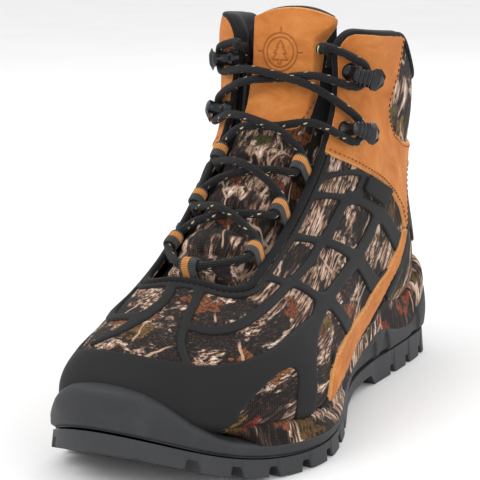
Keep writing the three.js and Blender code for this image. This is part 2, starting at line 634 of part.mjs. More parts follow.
// Axes for a hook, square to the surface under it: x away from the throat, y up, z along the throat.
function hookAxes(side, i) {
  const v = HOOK_STATIONS[side][i];
  const angle = angleAt(v, HOOK_X[side][i]);
  const { normal, round } = surfaceFrame(v, angle);
  const level = new THREE.Vector3(-normal.y, normal.x, 0).normalize();
  const away = level.add(round).normalize().multiplyScalar(side === "outer" ? 1 : -1);
  const turn = new THREE.Matrix4().makeRotationZ(-HOOK_TURN[side]);
  return new THREE.Matrix4().makeBasis(away, normal, away.clone().cross(normal)).multiply(turn)
    .setPosition(surfacePoint(v, angle));
}

// A speed hook: a base plate on the leather, a post, and an arm that reaches away from the throat.
function hook(axes) {
  const { width, postHalf, plateTop, armUnder, armThickness } = HOOK;
  const footSide = outline([[-5, -3], [9, -6], [9, plateTop - 1], [postHalf, plateTop],
    [postHalf, armUnder + 1], [-postHalf, armUnder + 1], [-postHalf, plateTop], [-5, plateTop]]);
  const post = new THREE.ExtrudeGeometry(footSide, { depth: width, bevelEnabled: false });
  post.translate(0, 0, -width / 2);
  const armPlan = [...HOOK_ARM, ...HOOK_ARM.slice().reverse().map(([x, half]) => [x, -half])];
  const arm = new THREE.ExtrudeGeometry(outline(armPlan), { depth: armThickness, bevelEnabled: false });
  arm.rotateX(Math.PI / 2).translate(0, armUnder + armThickness, 0);
  return solidOf(post.applyMatrix4(axes)).subtract(foot(CLEAR_OF_OVERLAYS))
    .add(solidOf(arm.applyMatrix4(axes)));
}
for (const side of ["outer", "inner"])
  for (const i of [0, 1]) addPart(`hook_${side}_${i + 1}`, hook(hookAxes(side, i)), COLOURS.metal);

// ---- lace

// A closed tube with a ring of vertices at each of the given points.
class PointByPoint extends THREE.CatmullRomCurve3 {
  getPointAt(share) {
    return this.getPoint(share);
  }
  getTangentAt(share) {
    return this.getTangent(share);
  }
}

function cord(points, radius, perPoint) {
  const curve = new PointByPoint(points, false, "centripetal");
  const section = new THREE.Shape();
  section.absarc(0, 0, radius, 0, Math.PI * 2, false);
  const steps = Math.round((points.length - 1) * perPoint);
  return solidOf(new THREE.ExtrudeGeometry(section,
    { steps, extrudePath: curve, curveSegments: 4, bevelEnabled: false }));
}

const mirrored = (side) => (side === "outer" ? -1 : 1);

// The lace straight through a loop, towards the collar.
function throughLoop(side, i) {
  const axes = loopAxes(side, LOOP_STATIONS[side][i]);
  return [-6, -2, 2, 6].map((z) =>
    new THREE.Vector3(0, LOOP.height, mirrored(side) * z).applyMatrix4(axes));
}

// The bight of lace round a hook's post, towards the collar.
function roundHook(side, i) {
  const axes = hookAxes(side, i);
  const radius = HOOK.width / 2 + LACE_RADIUS + 0.8;
  return [-80, -40, 0, 40, 80].map((degrees) => {
    const turn = THREE.MathUtils.degToRad(degrees);
    const out = 1.5 + 4.6 * Math.cos(turn);
    return new THREE.Vector3(out, HOOK_LACE_HEIGHT, mirrored(side) * radius * Math.sin(turn))
      .applyMatrix4(axes);
  });
}

// The lace across the tongue, between two stations, from one side to the other.
function across([fromV, fromX], [toV, toX], heights) {
  return heights.map((height, i) => {
    const share = 0.22 + 0.28 * i;
    return pointAcross(fromV + (toV - fromV) * share, fromX + (toX - fromX) * share, height);
  });
}

// From the bottom loop up one side: across through each pair of loops, then round the hooks.
function laceHalf(near, overs) {
  const far = near === "outer" ? "inner" : "outer";
  const loopAt = (side, i, above) =>
    [LOOP_STATIONS[side][i] + above, insideEdge(side, LOOP.inset)];
  const hookAt = (side, i, above) => [HOOK_STATIONS[side][i] + above, HOOK_X[side][i]];
  const heights = overs.map((over, i) => (i < 2 ? CROSSING : HOOK_CROSSING)[over ? "high" : "low"]);
  const tuckAxes = fittingAxes(awayFromThroat[near], 13, insideEdge(near, CROWN_SIDE_GAP / 2));
  return [
    ...throughLoop(near, 0),
    ...across(loopAt(near, 0, 0.25), loopAt(far, 1, -0.25), heights[0]),
    ...throughLoop(far, 1),
    ...across(loopAt(far, 1, 0.25), loopAt(near, 2, -0.25), heights[1]),
    ...throughLoop(near, 2),
    ...across(loopAt(near, 2, 0.3), hookAt(far, 0, -0.4), heights[2]),
    ...roundHook(far, 0),
    ...across(hookAt(far, 0, 0.5), hookAt(near, 1, -0.6), heights[3]),
    ...roundHook(near, 1),
    pointAcross(13.2, insideEdge(near, -5), 7.2),
    ...[9.5, 5, 1, -2.5].map((height) => new THREE.Vector3(0, height, 0).applyMatrix4(tuckAxes)),
    pointAcross(12.6, insideEdge(near, -0.5), -5.6),
    pointAcross(12.1, insideEdge(near, -1.5), -5.6),
  ];
}

const bottomAxes = loopAxes("bottom", LOOP_STATIONS.bottom);
const acrossBottom = [6, 2, -2, -6].map((z) =>
  new THREE.Vector3(0, LOOP.height, z).applyMatrix4(bottomAxes));
const laceRoute = [
  ...laceHalf("inner", [false, true, false, true]).reverse(),
  ...acrossBottom,
  ...laceHalf("outer", [true, false, true, false]),
];
addPart("lace", cord(laceRoute, LACE_RADIUS, 1), COLOURS.lace);

// A hard tip in line with each end of the lace.
function aglet(end, before) {
  const along = end.clone().sub(before).normalize();
  const start = end.clone().addScaledVector(along, GAP + 0.1);
  return cord([start, start.clone().addScaledVector(along, AGLET.length)], AGLET.radius, 1);
}
const lastPoint = laceRoute.length - 1;
addPart("aglet_inner", aglet(laceRoute[0], laceRoute[1]), COLOURS.metal);
addPart("aglet_outer", aglet(laceRoute[lastPoint], laceRoute[lastPoint - 1]), COLOURS.metal);

boot.updateMatrixWorld(true);
const box = new THREE.Box3().setFromObject(boot);
const centre = box.getCenter(new THREE.Vector3());
boot.position.set(-centre.x, -centre.y, -box.min.z);

export default boot;
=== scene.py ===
"""An insulated hunting boot: its looks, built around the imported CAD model.

Shapes are worked out in millimetres of the last's own frame, and move by LAST_ORIGIN into the row frame.
"""
import math

import bpy
import numpy as np
from mathutils import Matrix, Vector
from mathutils.bvhtree import BVHTree


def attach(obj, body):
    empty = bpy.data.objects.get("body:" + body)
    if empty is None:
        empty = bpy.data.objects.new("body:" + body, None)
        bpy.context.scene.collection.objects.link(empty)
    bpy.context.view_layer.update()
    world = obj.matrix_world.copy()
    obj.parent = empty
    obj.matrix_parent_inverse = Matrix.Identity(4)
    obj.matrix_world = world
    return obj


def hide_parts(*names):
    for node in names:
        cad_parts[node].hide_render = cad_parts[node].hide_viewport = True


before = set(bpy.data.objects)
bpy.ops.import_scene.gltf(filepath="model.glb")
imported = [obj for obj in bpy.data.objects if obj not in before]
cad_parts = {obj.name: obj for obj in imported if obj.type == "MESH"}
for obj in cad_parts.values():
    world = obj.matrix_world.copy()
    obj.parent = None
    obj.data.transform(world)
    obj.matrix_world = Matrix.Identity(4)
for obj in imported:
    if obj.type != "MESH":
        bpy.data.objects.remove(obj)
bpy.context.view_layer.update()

# ---------------------------------------------------------------- dimensions, in millimetres

LAST_ORIGIN = np.array([-6.0, -3.5, 0.0])

# Slices across the foot, from the toe to the collar: front y, z; back y, z; front x, back x; half widths
# outwards and inwards; squareness of the front and back halves; where the slice is widest.
STATIONS = np.array([
    [-147, 44, -147, 31, -10, -10, 3, 3, 2.2, 3.0, 0.56],
    [-144, 54, -144, 28, -10, -10, 23, 19, 2.0, 3.0, 0.58],
    [-135, 63, -135, 25, -9, -9, 38, 30, 2.0, 3.2, 0.62],
    [-119, 70, -119, 22, -7, -6, 49, 39, 2.0, 3.4, 0.68],
    [-96, 77, -96, 20, -5, -1, 58, 47, 2.2, 3.6, 0.74],
    [-71, 87, -67, 19, -4, 4, 61, 51, 2.1, 3.8, 0.78],
    [-47, 101, -28, 19, -4, 4, 58, 53, 2.0, 3.8, 0.78],
    [-23, 117, 16, 21, -4, 2, 51, 53, 2.1, 3.6, 0.7],
    [-3, 133, 66, 26, -4, 0, 46, 51, 2.3, 3.4, 0.6],
    [12, 147, 126, 31, -3, 0, 43.5, 51, 2.6, 3.6, 0.54],
    [22, 160, 149, 40, -3, 0, 42, 50, 2.8, 2.9, 0.52],
    [28, 172, 155, 76, -3, 0, 40, 50, 3.0, 2.0, 0.48],
    [31, 182, 150, 110, -3, 0, 41, 50, 3.0, 2.1, 0.46],
    [32, 191, 143, 148, -3, 0, 44, 51, 3.0, 2.5, 0.46],
    [33, 201, 139, 192, -3, 0, 43, 50.5, 3.0, 2.5, 0.46],
    [34, 216, 138, 210, -3, 0, 43, 46, 3.0, 2.5, 0.46],
])
LAST_STATION = len(STATIONS) - 1

SOLE_PLAN = np.array([
    (-8, -153), (14, -149), (33, -138), (48, -119), (59, -99), (67, -80), (69, -60), (63, -33), (51, 0),
    (43, 30), (41, 60), (42, 90), (42, 120), (39, 142), (25, 156), (2, 160), (-21, 156), (-37, 142),
    (-41, 118), (-41, 80), (-42, 40), (-46, 0), (-52, -35), (-56, -62), (-57, -86), (-55, -106),
    (-52, -122), (-44, -137), (-28, -149)], float)
WALL_TOP = np.array([(-160, 52), (-153, 51), (-149, 48), (-145, 43.5), (-141, 38.5), (-137, 33.5), (-127, 25.5),
                     (-120, 22), (-110, 19), (-100, 17.2), (-80, 15.7), (-50, 14.4), (-15, 16.5), (25, 20),
                     (50, 26), (62, 30), (70, 31.5), (82, 29.5), (94, 26.5), (105, 25), (115, 25), (122, 28),
                     (130, 34), (140, 42), (165, 47)], float)
TOE_SPRING_START = -85
TOE_SPRING_RISE = 0.0044

THROAT_OUTER, THROAT_INNER, THROAT_FRONT = 25.0, -30.0, -74.0
THROAT_CORNER = 12.0
COLLAR_CORNER = 15.0
# The rim lies where a point's product with RIM_PLANE is RIM_Z.
RIM_Z, RIM_PLANE = 206.8, np.array([0.09, 0.08, 1])
UNDER_RIM = np.array([(-200, -10), (-200, 230), (86, 230), (90, 202), (94, 196), (100, 189), (106, 182),
                      (112, 176), (120, 170), (130, 167), (190, 166), (190, -10)], float)

# Side views, as y, z.
LEATHER_FLAP = np.array([
    (-20, 232), (12, 141), (19, 139), (25, 135), (36, 130), (51, 123), (71, 114), (87, 104), (97, 95),
    (100, 88), (102, 83), (103.5, 83), (107, 85), (110, 94), (114, 102), (118, 110), (121, 114), (170, 118),
    (170, 130), (119, 129.5), (101, 133), (88, 140), (81, 149), (79, 157), (81, 167), (87, 178), (92, 188),
    (97, 194), (104, 232)], float)
STRIP = np.array([
    (97, 82), (90, 75), (73, 65), (50, 59), (33, 53), (4, 50), (-21, 47), (-37, 44), (-47, 39), (-55, 28),
    (-51, 26), (-48, 28), (-34, 32), (-13, 36), (6, 40), (36, 43), (58, 49), (74, 57), (88, 64), (98, 73),
    (104, 82)], float)
# This window runs from the web down into the toe cap.
LOW_WINDOW = np.array([(-33, 64), (-24, 50), (-38, 46), (-46, 40), (-56, 28), (-59, 24), (-70, 26), (-64, 44),
                       (-57, 53), (-46, 59)], float)
TOE_CAP_EDGE = np.array([(-170, 66), (-135, 63), (-132, 61), (-125, 58), (-116, 57), (-106, 57), (-91, 59),
                         (-81, 61), (-62, 65), (-50, 66), (-33, 69)], float)
TOE_CAP_UNDERSIDE = np.array([(-37, 40), (-52, 23), (-59, 24), (-70, 26), (-85, 29.5), (-95, 29), (-106, 30),
                              (-115, 31.5), (-124, 26), (-132, 20), (-170, 0)], float)
TOE_CAP_WINDOW = np.array([
    (-115, 35), (-109, 41), (-100, 46), (-89, 50), (-81, 50), (-79, 47), (-79, 41), (-82, 33), (-85, 28),
    (-95, 27), (-106, 28), (-115, 30)], float)
HEEL_OVERLAY = np.array([
    (103, 81), (104, 84), (108, 86), (111.5, 94.5), (115.5, 102.5), (119.5, 111.3), (170, 117), (170, 72),
    (134, 68), (120, 72), (115, 80), (111, 82), (109, 74), (104, 66), (94, 58), (84, 50), (76, 46), (70, 50),
    (80, 56), (92, 64), (99, 72)], float)
TAG = np.array([(52, 121), (83, 108), (68, 101), (43, 114)], float)
WEB_SEAM = -45.0
FRAME_EDGE, PLACKET_EDGE = 7.5, 4.2
# The moulded bars, as station, angle and width along each: those of both sides, then those of one side.
BARS = [
    [(9.25, .54, 14), (9.2, .49, 11), (8.98, .436, 7.7), (8.73, .382, 5), (8.43, .326, 3.9), (8.16, .275, 3.4),
     (7.88, .228, 3.7), (7.7, .17, 3.7)],
    [(9.56, .382, 3.3), (9.21, .334, 3.2), (8.81, .283, 3.1), (8.44, .240, 3.3), (8.07, .214, 3.3),
     (7.9, .195, 3.4), (7.8, .15, 3.4)],
    [(9.7, .38, 5), (9.48, .375, 5.9), (9.11, .370, 6.2), (8.77, .363, 5.9), (8.5, .345, 5.6)],
    [(8.13, .533, 13), (7.98, .483, 11), (7.77, .416, 7.2), (7.43, .334, 5), (7.17, .283, 4.1),
     (6.93, .238, 4.1), (6.69, .194, 3.8), (6.5, .15, 3.8)],
    [(6.79, .486, 12), (6.65, .429, 11), (6.48, .376, 9), (6.21, .323, 6.2), (6.03, .269, 5.2),
     (5.79, .225, 4.6), (5.58, .177, 4.5), (5.45, .14, 4.5)],
    [(8.6, .34, 5.6), (8.44, .336, 5.5), (8.07, .329, 5.7), (7.60, .315, 5.1), (7.22, .298, 4.9),
     (6.72, .281, 4.6), (6.14, .255, 4.5), (5.70, .240, 4.8), (5.18, .227, 5), (4.57, .216, 5.3),
     (4.21, .210, 5.5), (3.81, .187, 5.2), (3.61, .159, 4.7), (3.53, .116, 4.3)],
    [(9.0, .46, 8.5), (8.88, .455, 8.5), (8.41, .456, 8.4), (7.97, .448, 8.5), (7.50, .422, 7.5),
     (6.86, .384, 6.9), (6.38, .361, 7.3), (6.08, .354, 9.6), (5.72, .369, 9.7), (5.26, .394, 11.1),
     (4.86, .448, 11.6), (4.72, .561, 15.6)],
    [(9.45, .53, 12), (9.1, .54, 12), (8.7, .545, 9), (8.3, .54, 8)],
]
INNER_BARS = [[(3.84, -.19, 3.7), (3.66, -.155, 3.9), (3.55, -.11, 4.6), (3.5, -.06, 6.4), (3.48, -.02, 6.6)]]
OUTER_BARS = [
    [(4.9, -.025, 5.4), (4.72, -.025, 5.4), (4.34, -.010, 5.7), (3.92, -.009, 6.5), (3.56, -.021, 7.3),
     (3.16, -.039, 6.7), (2.83, -.072, 5.3), (2.61, -.124, 4.2), (2.5, -.165, 3)],
    [(4.8, .045, 5.7), (4.63, .052, 5.7), (4.29, .063, 4.7), (3.84, .082, 4.4), (3.41, .119, 3.9),
     (3.05, .159, 3.7), (2.78, .209, 4), (2.6, .262, 4.1)],
]

LACE_RADIUS = 2.3
LOOP_STATIONS = {"bottom": 5.1, "outer": [5.9, 7.05, 8.25], "inner": [5.95, 7.05, 8.3]}
LOOP_INSET, LOOP_HEIGHT, LOOP_TAIL, LOOP_WALL, LOOP_WIDTH, LOOP_PLAY = 4.4, 4.0, 8.0, 1.2, 9.0, 0.4
HOOK_STATIONS = {"outer": [10.12, 12.35], "inner": [10.1, 12.4]}
HOOK_X = {"outer": [31, 32], "inner": [-33.5, -33.5]}
HOOK_TURN = {"outer": 0.0, "inner": 0.5}
HOOK_WIDTH = 7.0
HOOK_LACE_HEIGHT = 7.3
CROSSING = {"low": [3.6, 3, 3.6], "high": [5.4, 8.4, 5.4]}
HOOK_CROSSING = {"low": [8.2, 3.2, 8], "high": [8.2, 8.6, 8.2]}
CROWN_SIDE_GAP = 6.2

# ---------------------------------------------------------------- camera


def to_row(points):
    """Points in millimetres of the last's frame, in metres of the row frame."""
    return (np.asarray(points, float) + LAST_ORIGIN) / 1000


CAMERA_TARGET = (-1.0, -22.0, 95.5)
CAMERA_AZIMUTH, CAMERA_ELEVATION, CAMERA_ROLL = 27.2, 12.0, -0.3
CAMERA_DISTANCE = 860.0
SENSOR_WIDTH, LENS_LENGTH = 36.0, 124.125


def add_camera():
    azimuth, elevation, roll = (math.radians(a) for a in (CAMERA_AZIMUTH, CAMERA_ELEVATION, CAMERA_ROLL))
    back = Vector((math.sin(azimuth) * math.cos(elevation), -math.cos(azimuth) * math.cos(elevation),
                   math.sin(elevation)))
    right = Vector((math.cos(azimuth), math.sin(azimuth), 0))
    up = back.cross(right)
    turned_right = right * math.cos(roll) + up * math.sin(roll)
    turned_up = up * math.cos(roll) - right * math.sin(roll)
    data = bpy.data.cameras.new("camera")
    data.sensor_width, data.lens = SENSOR_WIDTH, LENS_LENGTH
    data.clip_start = 0.05
    camera = bpy.data.objects.new("camera", data)
    bpy.context.scene.collection.objects.link(camera)
    place = Matrix((turned_right, turned_up, back)).transposed().to_4x4()
    place.translation = Vector(to_row(CAMERA_TARGET)) + back * CAMERA_DISTANCE / 1000
    camera.matrix_world = place
    bpy.context.scene.camera = camera


add_camera()

# ---------------------------------------------------------------- the upper's surface


def unit(vectors):
    return vectors / np.maximum(np.linalg.norm(vectors, axis=-1, keepdims=True), 1e-9)


def spline(a, b, c, d, t):
    """From b at t = 0 to c at t = 1, heading past a and d."""
    return 0.5 * (2 * b + (c - a) * t + (2 * a - 5 * b + 4 * c - d) * t ** 2
                  + (3 * b - a - 3 * c + d) * t ** 3)


def spline_ring(points, per_span):
    """A closed smooth line through the points."""
    t = (np.arange(per_span) / per_span)[None, :, None]
    turned = [np.roll(points, k, 0)[:, None] for k in (1, 0, -1, -2)]
    return spline(*turned, t).reshape(-1, points.shape[1])


def station_at(v):
    """The station at fractional indices, by a spline through the stations."""
    v = np.asarray(v, float)
    i = np.clip(np.floor(v).astype(int), 0, LAST_STATION - 1)
    ends = np.vstack([2 * STATIONS[0] - STATIONS[1], STATIONS, 2 * STATIONS[-1] - STATIONS[-2]])
    return spline(ends[i], ends[i + 1], ends[i + 2], ends[i + 3], (v - i)[..., None])


def surface(v, angle):
    """The fabric's outside. The angle runs from 0 at the front to 1 at the back, outer side positive."""
    angle = (np.asarray(angle, float) + 1) % 2 - 1
    (front_y, front_z, back_y, back_z, front_x, back_x, outer, inner, square_front, square_back,
     widest) = np.moveaxis(station_at(v), -1, 0)
    a = np.abs(angle) * np.pi
    in_front = a <= np.pi / 2
    power = 2 / np.where(in_front, square_front, square_back)
    side, along = np.abs(np.sin(a)) ** power, np.abs(np.cos(a)) ** power
    share = np.where(in_front, widest * (1 - along), widest + (1 - widest) * along)
    half = np.where(angle >= 0, outer, -inner)
    return np.stack([front_x + (back_x - front_x) * share + half * side,
                     front_y + (back_y - front_y) * share,
                     front_z + (back_z - front_z) * share], -1)


FRAME_STEP = 0.02


def surface_frame(v, angle):
    """Outward normal and the direction along the stations."""
    step = FRAME_STEP
    v, angle = np.asarray(v, float), np.asarray(angle, float)
    around = unit(surface(v, angle + step) - surface(v, angle - step))
    along = unit(surface(np.minimum(v + step, LAST_STATION), angle) - surface(np.maximum(v - step, 0), angle))
    normal = unit(np.cross(around, along))
    return normal, unit(np.cross(normal, around))


def angle_at(v, x):
    """The angle at which a station's front half reaches a given x."""
    side = 1 if x >= surface(v, 0)[0] else -1
    low, high = 0.0, 0.5
    for _ in range(30):
        middle = (low + high) / 2
        if side * (surface(v, side * middle)[0] - x) < 0:
            low = middle
        else:
            high = middle
    return side * low


def point_across(v, x, lift):
    angle = angle_at(v, x)
    return surface(v, angle) + surface_frame(v, angle)[0] * lift


def run_lengths(steps, axis=0):
    """How far along each point lies, from the distances between neighbours."""
    start = np.zeros_like(np.take(steps, [0], axis))
    return np.concatenate([start, np.cumsum(steps, axis)], axis)


def spacing(points, axis=0):
    return np.linalg.norm(np.diff(points, axis=axis), axis=-1)


def length_table():
    """Distance along the foot to each station, averaged over lines at the front, sides and back."""
    v = np.linspace(0, LAST_STATION, 601)
    lines = np.stack([surface(v, angle) for angle in (0, 0.4, -0.4, 0.75, -0.75)], 0)
    return v, run_lengths(spacing(lines, 1).mean(0))


LENGTH_V, LENGTH_MM = length_table()
RIM_ROUNDING = 6.0
BAR_FILLET = 2.0


def split_cells(index, right):
    """Two triangles for each cell of a grid, given the left and right ends of its rows."""
    a, b, c, d = index[:-1], right[:-1], right[1:], index[1:]
    return np.concatenate([np.stack([a, b, c], -1).reshape(-1, 3), np.stack([a, c, d], -1).reshape(-1, 3)])


def centripetal(points, per_span):
    """A smooth line through points of any dimension, the same curve as the model's cord."""
    points = np.array(points)
    padded = np.vstack([2 * points[0] - points[1], points, 2 * points[-1] - points[-2]])
    line = []
    for i in range(len(points) - 1):
        p = padded[i:i + 4]
        knots = run_lengths(spacing(p) ** 0.5)
        t = (knots[1] + (knots[2] - knots[1]) * np.arange(per_span) / per_span)[:, None]
        a = [(knots[k + 1] - t) / (knots[k + 1] - knots[k]) * p[k]
             + (t - knots[k]) / (knots[k + 1] - knots[k]) * p[k + 1] for k in range(3)]
        b = [(knots[k + 2] - t) / (knots[k + 2] - knots[k]) * a[k]
             + (t - knots[k]) / (knots[k + 2] - knots[k]) * a[k + 1] for k in range(2)]
        line.append((knots[2] - t) / (knots[2] - knots[1]) * b[0] + (t - knots[1]) / (knots[2] - knots[1]) * b[1])
    return np.vstack([*line, points[-1:]])


class Sheet:
    """A grid over part of the upper, spaced evenly along the surface: rows along v, columns round it."""

    def __init__(self, v_range, angle_range, cell, closed=False):
        low, high = np.interp(v_range, LENGTH_V, LENGTH_MM)
        rows = int(round((high - low) / cell)) + 1
        v = np.interp(np.linspace(low, high, rows), LENGTH_MM, LENGTH_V)
        fine = np.linspace(angle_range[0], angle_range[1], 1201)
        ring = surface(v[:, None], fine[None, :])
        lengths = run_lengths(spacing(ring, 1), 1)
        columns = int(round(lengths[:, -1].mean() / cell)) + (0 if closed else 1)
        shares = np.arange(columns) / (columns if closed else columns - 1)
        angle = np.stack([np.interp(shares * row[-1], row, fine) for row in lengths])
        front = np.array([np.interp(0, fine, row) for row in lengths])
        self.v = np.repeat(v[:, None], columns, 1)
        self.angle = angle
        self.closed = closed
        self.shape = (rows, columns)
        self.point = surface(self.v, angle)
        self.flat = np.stack([shares[None, :] * lengths[:, -1:] - front[:, None],
                              np.repeat(np.linspace(low, high, rows)[:, None], columns, 1)], -1)
        self.normal = unit(np.cross(self.change(self.point, 1), self.change(self.point, 0)))
        self.steps = [np.linalg.norm(self.change(self.point, axis), axis=-1) for axis in (0, 1)]
        index = np.arange(rows * columns).reshape(rows, columns)
        self.triangles = (split_cells(index, np.roll(index, -1, 1)) if closed
                          else split_cells(index[:, :-1], index[:, 1:]))

    def change(self, values, axis):
        """Central differences, round the back where the sheet is closed."""
        if axis == 1 and self.closed:
            return (np.roll(values, -1, 1) - np.roll(values, 1, 1)) / 2
        return np.gradient(values, axis=axis)

    def true(self, field):
        """A field rescaled to be a distance along the surface near its zero line."""
        slope = np.hypot(self.change(field, 0) / self.steps[0], self.change(field, 1) / self.steps[1])
        return field / np.maximum(slope, 0.35)

    def side(self, outline, corner=0):
        return self.true(polygon_distance(self.point[..., 1:], rounded(outline, corner)))

    def plan(self, outline, corner=0):
        return self.true(polygon_distance(self.point[..., :2], rounded(outline, corner)))

    def above_wall(self):
        return self.true(self.point[..., 2] - np.interp(self.point[..., 1], *WALL_TOP.T))

    def under_rim(self):
        plane = self.true(RIM_Z - self.point @ RIM_PLANE)
        return both(plane, self.side(UNDER_RIM, 1), RIM_ROUNDING)

    def bars(self, bars, reach=12.0):
        """How far inside the edge of the nearest bar each point lies."""
        points = self.point.reshape(-1, 3)
        field = np.full(len(points), -reach)
        for bar in bars:
            line = centripetal(bar, 6)
            ends, half = surface(line[:, 0], line[:, 1]), line[:, 2] / 2
            close = np.flatnonzero(np.all((points > ends.min(0) - reach) & (points < ends.max(0) + reach), 1))
            inside = np.full(len(close), -reach)
            for a, b, start, change in zip(ends[:-1], ends[1:], half[:-1], np.diff(half)):
                edge, to_point = b - a, points[close] - a
                t = np.clip(to_point @ edge / (edge @ edge), 0, 1)
                far = np.linalg.norm(to_point - t[:, None] * edge, axis=-1)
                inside = np.maximum(inside, start + change * t - far)
            field[close] = either(field[close], inside, BAR_FILLET)
        return field.reshape(self.shape)

    def outside_throat(self):
        x, y = self.point[..., 0], self.point[..., 1]
        middle, half = (THROAT_OUTER + THROAT_INNER) / 2, (THROAT_OUTER - THROAT_INNER) / 2 - THROAT_CORNER
        beside = np.abs(x - middle) - half
        before = THROAT_FRONT + THROAT_CORNER - y
        distance = (np.hypot(np.maximum(beside, 0), np.maximum(before, 0))
                    + np.minimum(np.maximum(beside, before), 0) - THROAT_CORNER)
        return np.where(np.abs(self.angle) < 0.5, self.true(distance), 20.0)

    def outside_opening(self):
        """Distance from the edge of the throat and the collar, round at the collar's front corners."""
        return both(self.outside_throat(), self.under_rim(), COLLAR_CORNER)


def line_distance(points, line):
    """Distance of plane points from a line."""
    nearest = np.full(points.shape[:-1], np.inf)
    for a, b in zip(line[:-1], line[1:]):
        edge, to_point = b - a, points - a
        t = np.clip((to_point @ edge) / (edge @ edge), 0, 1)
        nearest = np.minimum(nearest, np.linalg.norm(to_point - t[..., None] * edge, axis=-1))
    return nearest


def polygon_distance(points, outline):
    """Signed distance of plane points from a closed outline, positive inside."""
    inside = np.zeros(points.shape[:-1], bool)
    for a, b in zip(outline, np.roll(outline, -1, 0)):
        if a[1] != b[1]:
            crosses = (points[..., 1] < a[1]) != (points[..., 1] < b[1])
            inside ^= crosses & (points[..., 0] < a[0] + (points[..., 1] - a[1]) / (b[1] - a[1]) * (b[0] - a[0]))
    nearest = line_distance(points, np.vstack([outline, outline[:1]]))
    return np.where(inside, nearest, -nearest)


CORNER_CUT = 0.12


def rounded(outline, times):
    """The outline with its corners cut, again and again."""
    for _ in range(times):
        following = np.roll(outline, -1, 0)
        outline = np.stack([(1 - CORNER_CUT) * outline + CORNER_CUT * following,
                            CORNER_CUT * outline + (1 - CORNER_CUT) * following], 1).reshape(-1, 2)
    return outline


def both(a, b, radius=0.0):
    """Inside both fields, with a round corner where their edges meet."""
    if not radius:
        return np.minimum(a, b)
    corner = radius - np.hypot(np.maximum(radius - a, 0), np.maximum(radius - b, 0))
    return np.where((a < radius) & (b < radius), corner, np.minimum(a, b))


def either(a, b, radius=0.0):
    return -both(-a, -b, radius)


def smooth_step(values, low, high):
    t = np.clip((values - low) / (high - low), 0, 1)
    return t * t * (3 - 2 * t)


def value_noise(points, size, seed):
    """Smooth noise from -1 to 1 in space, with features of about the given size."""
    p = np.asarray(points, float) / size + 100
    cell = np.floor(p).astype(np.int64)
    t = p - cell
    t = t * t * (3 - 2 * t)
    total = np.zeros(p.shape[:-1])
    for corner in range(8):
        offset = np.array([corner & 1, corner >> 1 & 1, corner >> 2 & 1])
        key = (cell + offset) @ np.array([73856093, 19349663, 83492791]) + seed * 2654435761
        key = (key ^ (key >> 13)) * 1274126177 & 0x7FFFFFFF
        key = (key ^ (key >> 16)) & 0xFFFF
        weight = np.prod(np.where(offset, t, 1 - t), -1)
        total += weight * (key / 32767.5 - 1)
    return total


# ---------------------------------------------------------------- meshes


LEAST_SHARE = 0.06


class Patch:
    """The part of a sheet where a field is above zero, cut along its zero line."""

    def __init__(self, sheet, field):
        flat_field = field.reshape(-1)
        triangles = sheet.triangles
        positive = flat_field[triangles] > 0
        count = positive.sum(1)
        kept = [triangles[count == 3]]
        edges = []
        for wanted in (1, 2):
            some = triangles[count == wanted]
            first = (positive[count == wanted] == (wanted == 1)).argmax(1)
            edges.append([some[np.arange(len(some)), (first + k) % 3] for k in range(3)])
        (a1, b1, c1), (a2, b2, c2) = edges
        pairs = np.concatenate([np.stack([a1, b1], -1), np.stack([a1, c1], -1),
                                np.stack([b2, a2], -1), np.stack([c2, a2], -1)])
        pairs.sort(1)
        key = pairs[:, 0].astype(np.int64) * len(flat_field) + pairs[:, 1]
        unique, where = np.unique(key, return_inverse=True)
        low, high = unique // len(flat_field), unique % len(flat_field)
        t = flat_field[low] / (flat_field[low] - flat_field[high])
        t = np.clip(t, LEAST_SHARE, 1 - LEAST_SHARE)[:, None]
        new = len(flat_field) + where.reshape(-1)
        n1, n2 = len(a1), len(a2)
        ab1, ac1 = new[:n1], new[n1:2 * n1]
        ba2, ca2 = new[2 * n1:2 * n1 + n2], new[2 * n1 + n2:]
        kept += [np.stack([a1, ab1, ac1], -1), np.stack([ba2, b2, c2], -1), np.stack([ba2, c2, ca2], -1)]
        kept = np.concatenate(kept)
        used, faces = np.unique(kept, return_inverse=True)
        self.faces = faces.reshape(-1, 3)
        self.is_cut = used >= len(flat_field)

        def gather(values):
            values = values.reshape(len(flat_field), -1)
            between = values[low] * (1 - t) + values[high] * t
            return np.concatenate([values, between])[used]

        self.gather = gather
        self.point = gather(sheet.point)
        self.normal = unit(gather(sheet.normal))
        self.flat = gather(sheet.flat)
        self.depth = np.where(self.is_cut, 0, gather(field)[:, 0])
        sides = np.concatenate([self.faces[:, [0, 1]], self.faces[:, [1, 2]], self.faces[:, [2, 0]]])
        forward = sides[:, 0].astype(np.int64) * len(used) + sides[:, 1]
        backward = sides[:, 1].astype(np.int64) * len(used) + sides[:, 0]
        self.border = sides[~np.isin(forward, backward)]

    def take(self, values):
        """A grid of values at the patch's vertices."""
        return self.gather(values)[:, 0]

    def contour_lines(self, shortest=8):
        """The cut edge as ordered lines of vertex indices, each at least that many vertices long."""
        following = {a: b for a, b in self.border}
        starts = set(following) - set(following.values())
        lines, seen = [], set()
        for start in sorted(starts) + sorted(following):
            if start in seen:
                continue
            line = [start]
            seen.add(start)
            while line[-1] in following and following[line[-1]] not in seen:
                line.append(following[line[-1]])
                seen.add(line[-1])
            closed = following.get(line[-1]) == start
            if len(line) >= shortest:
                lines.append((np.array(line), closed))
        return lines


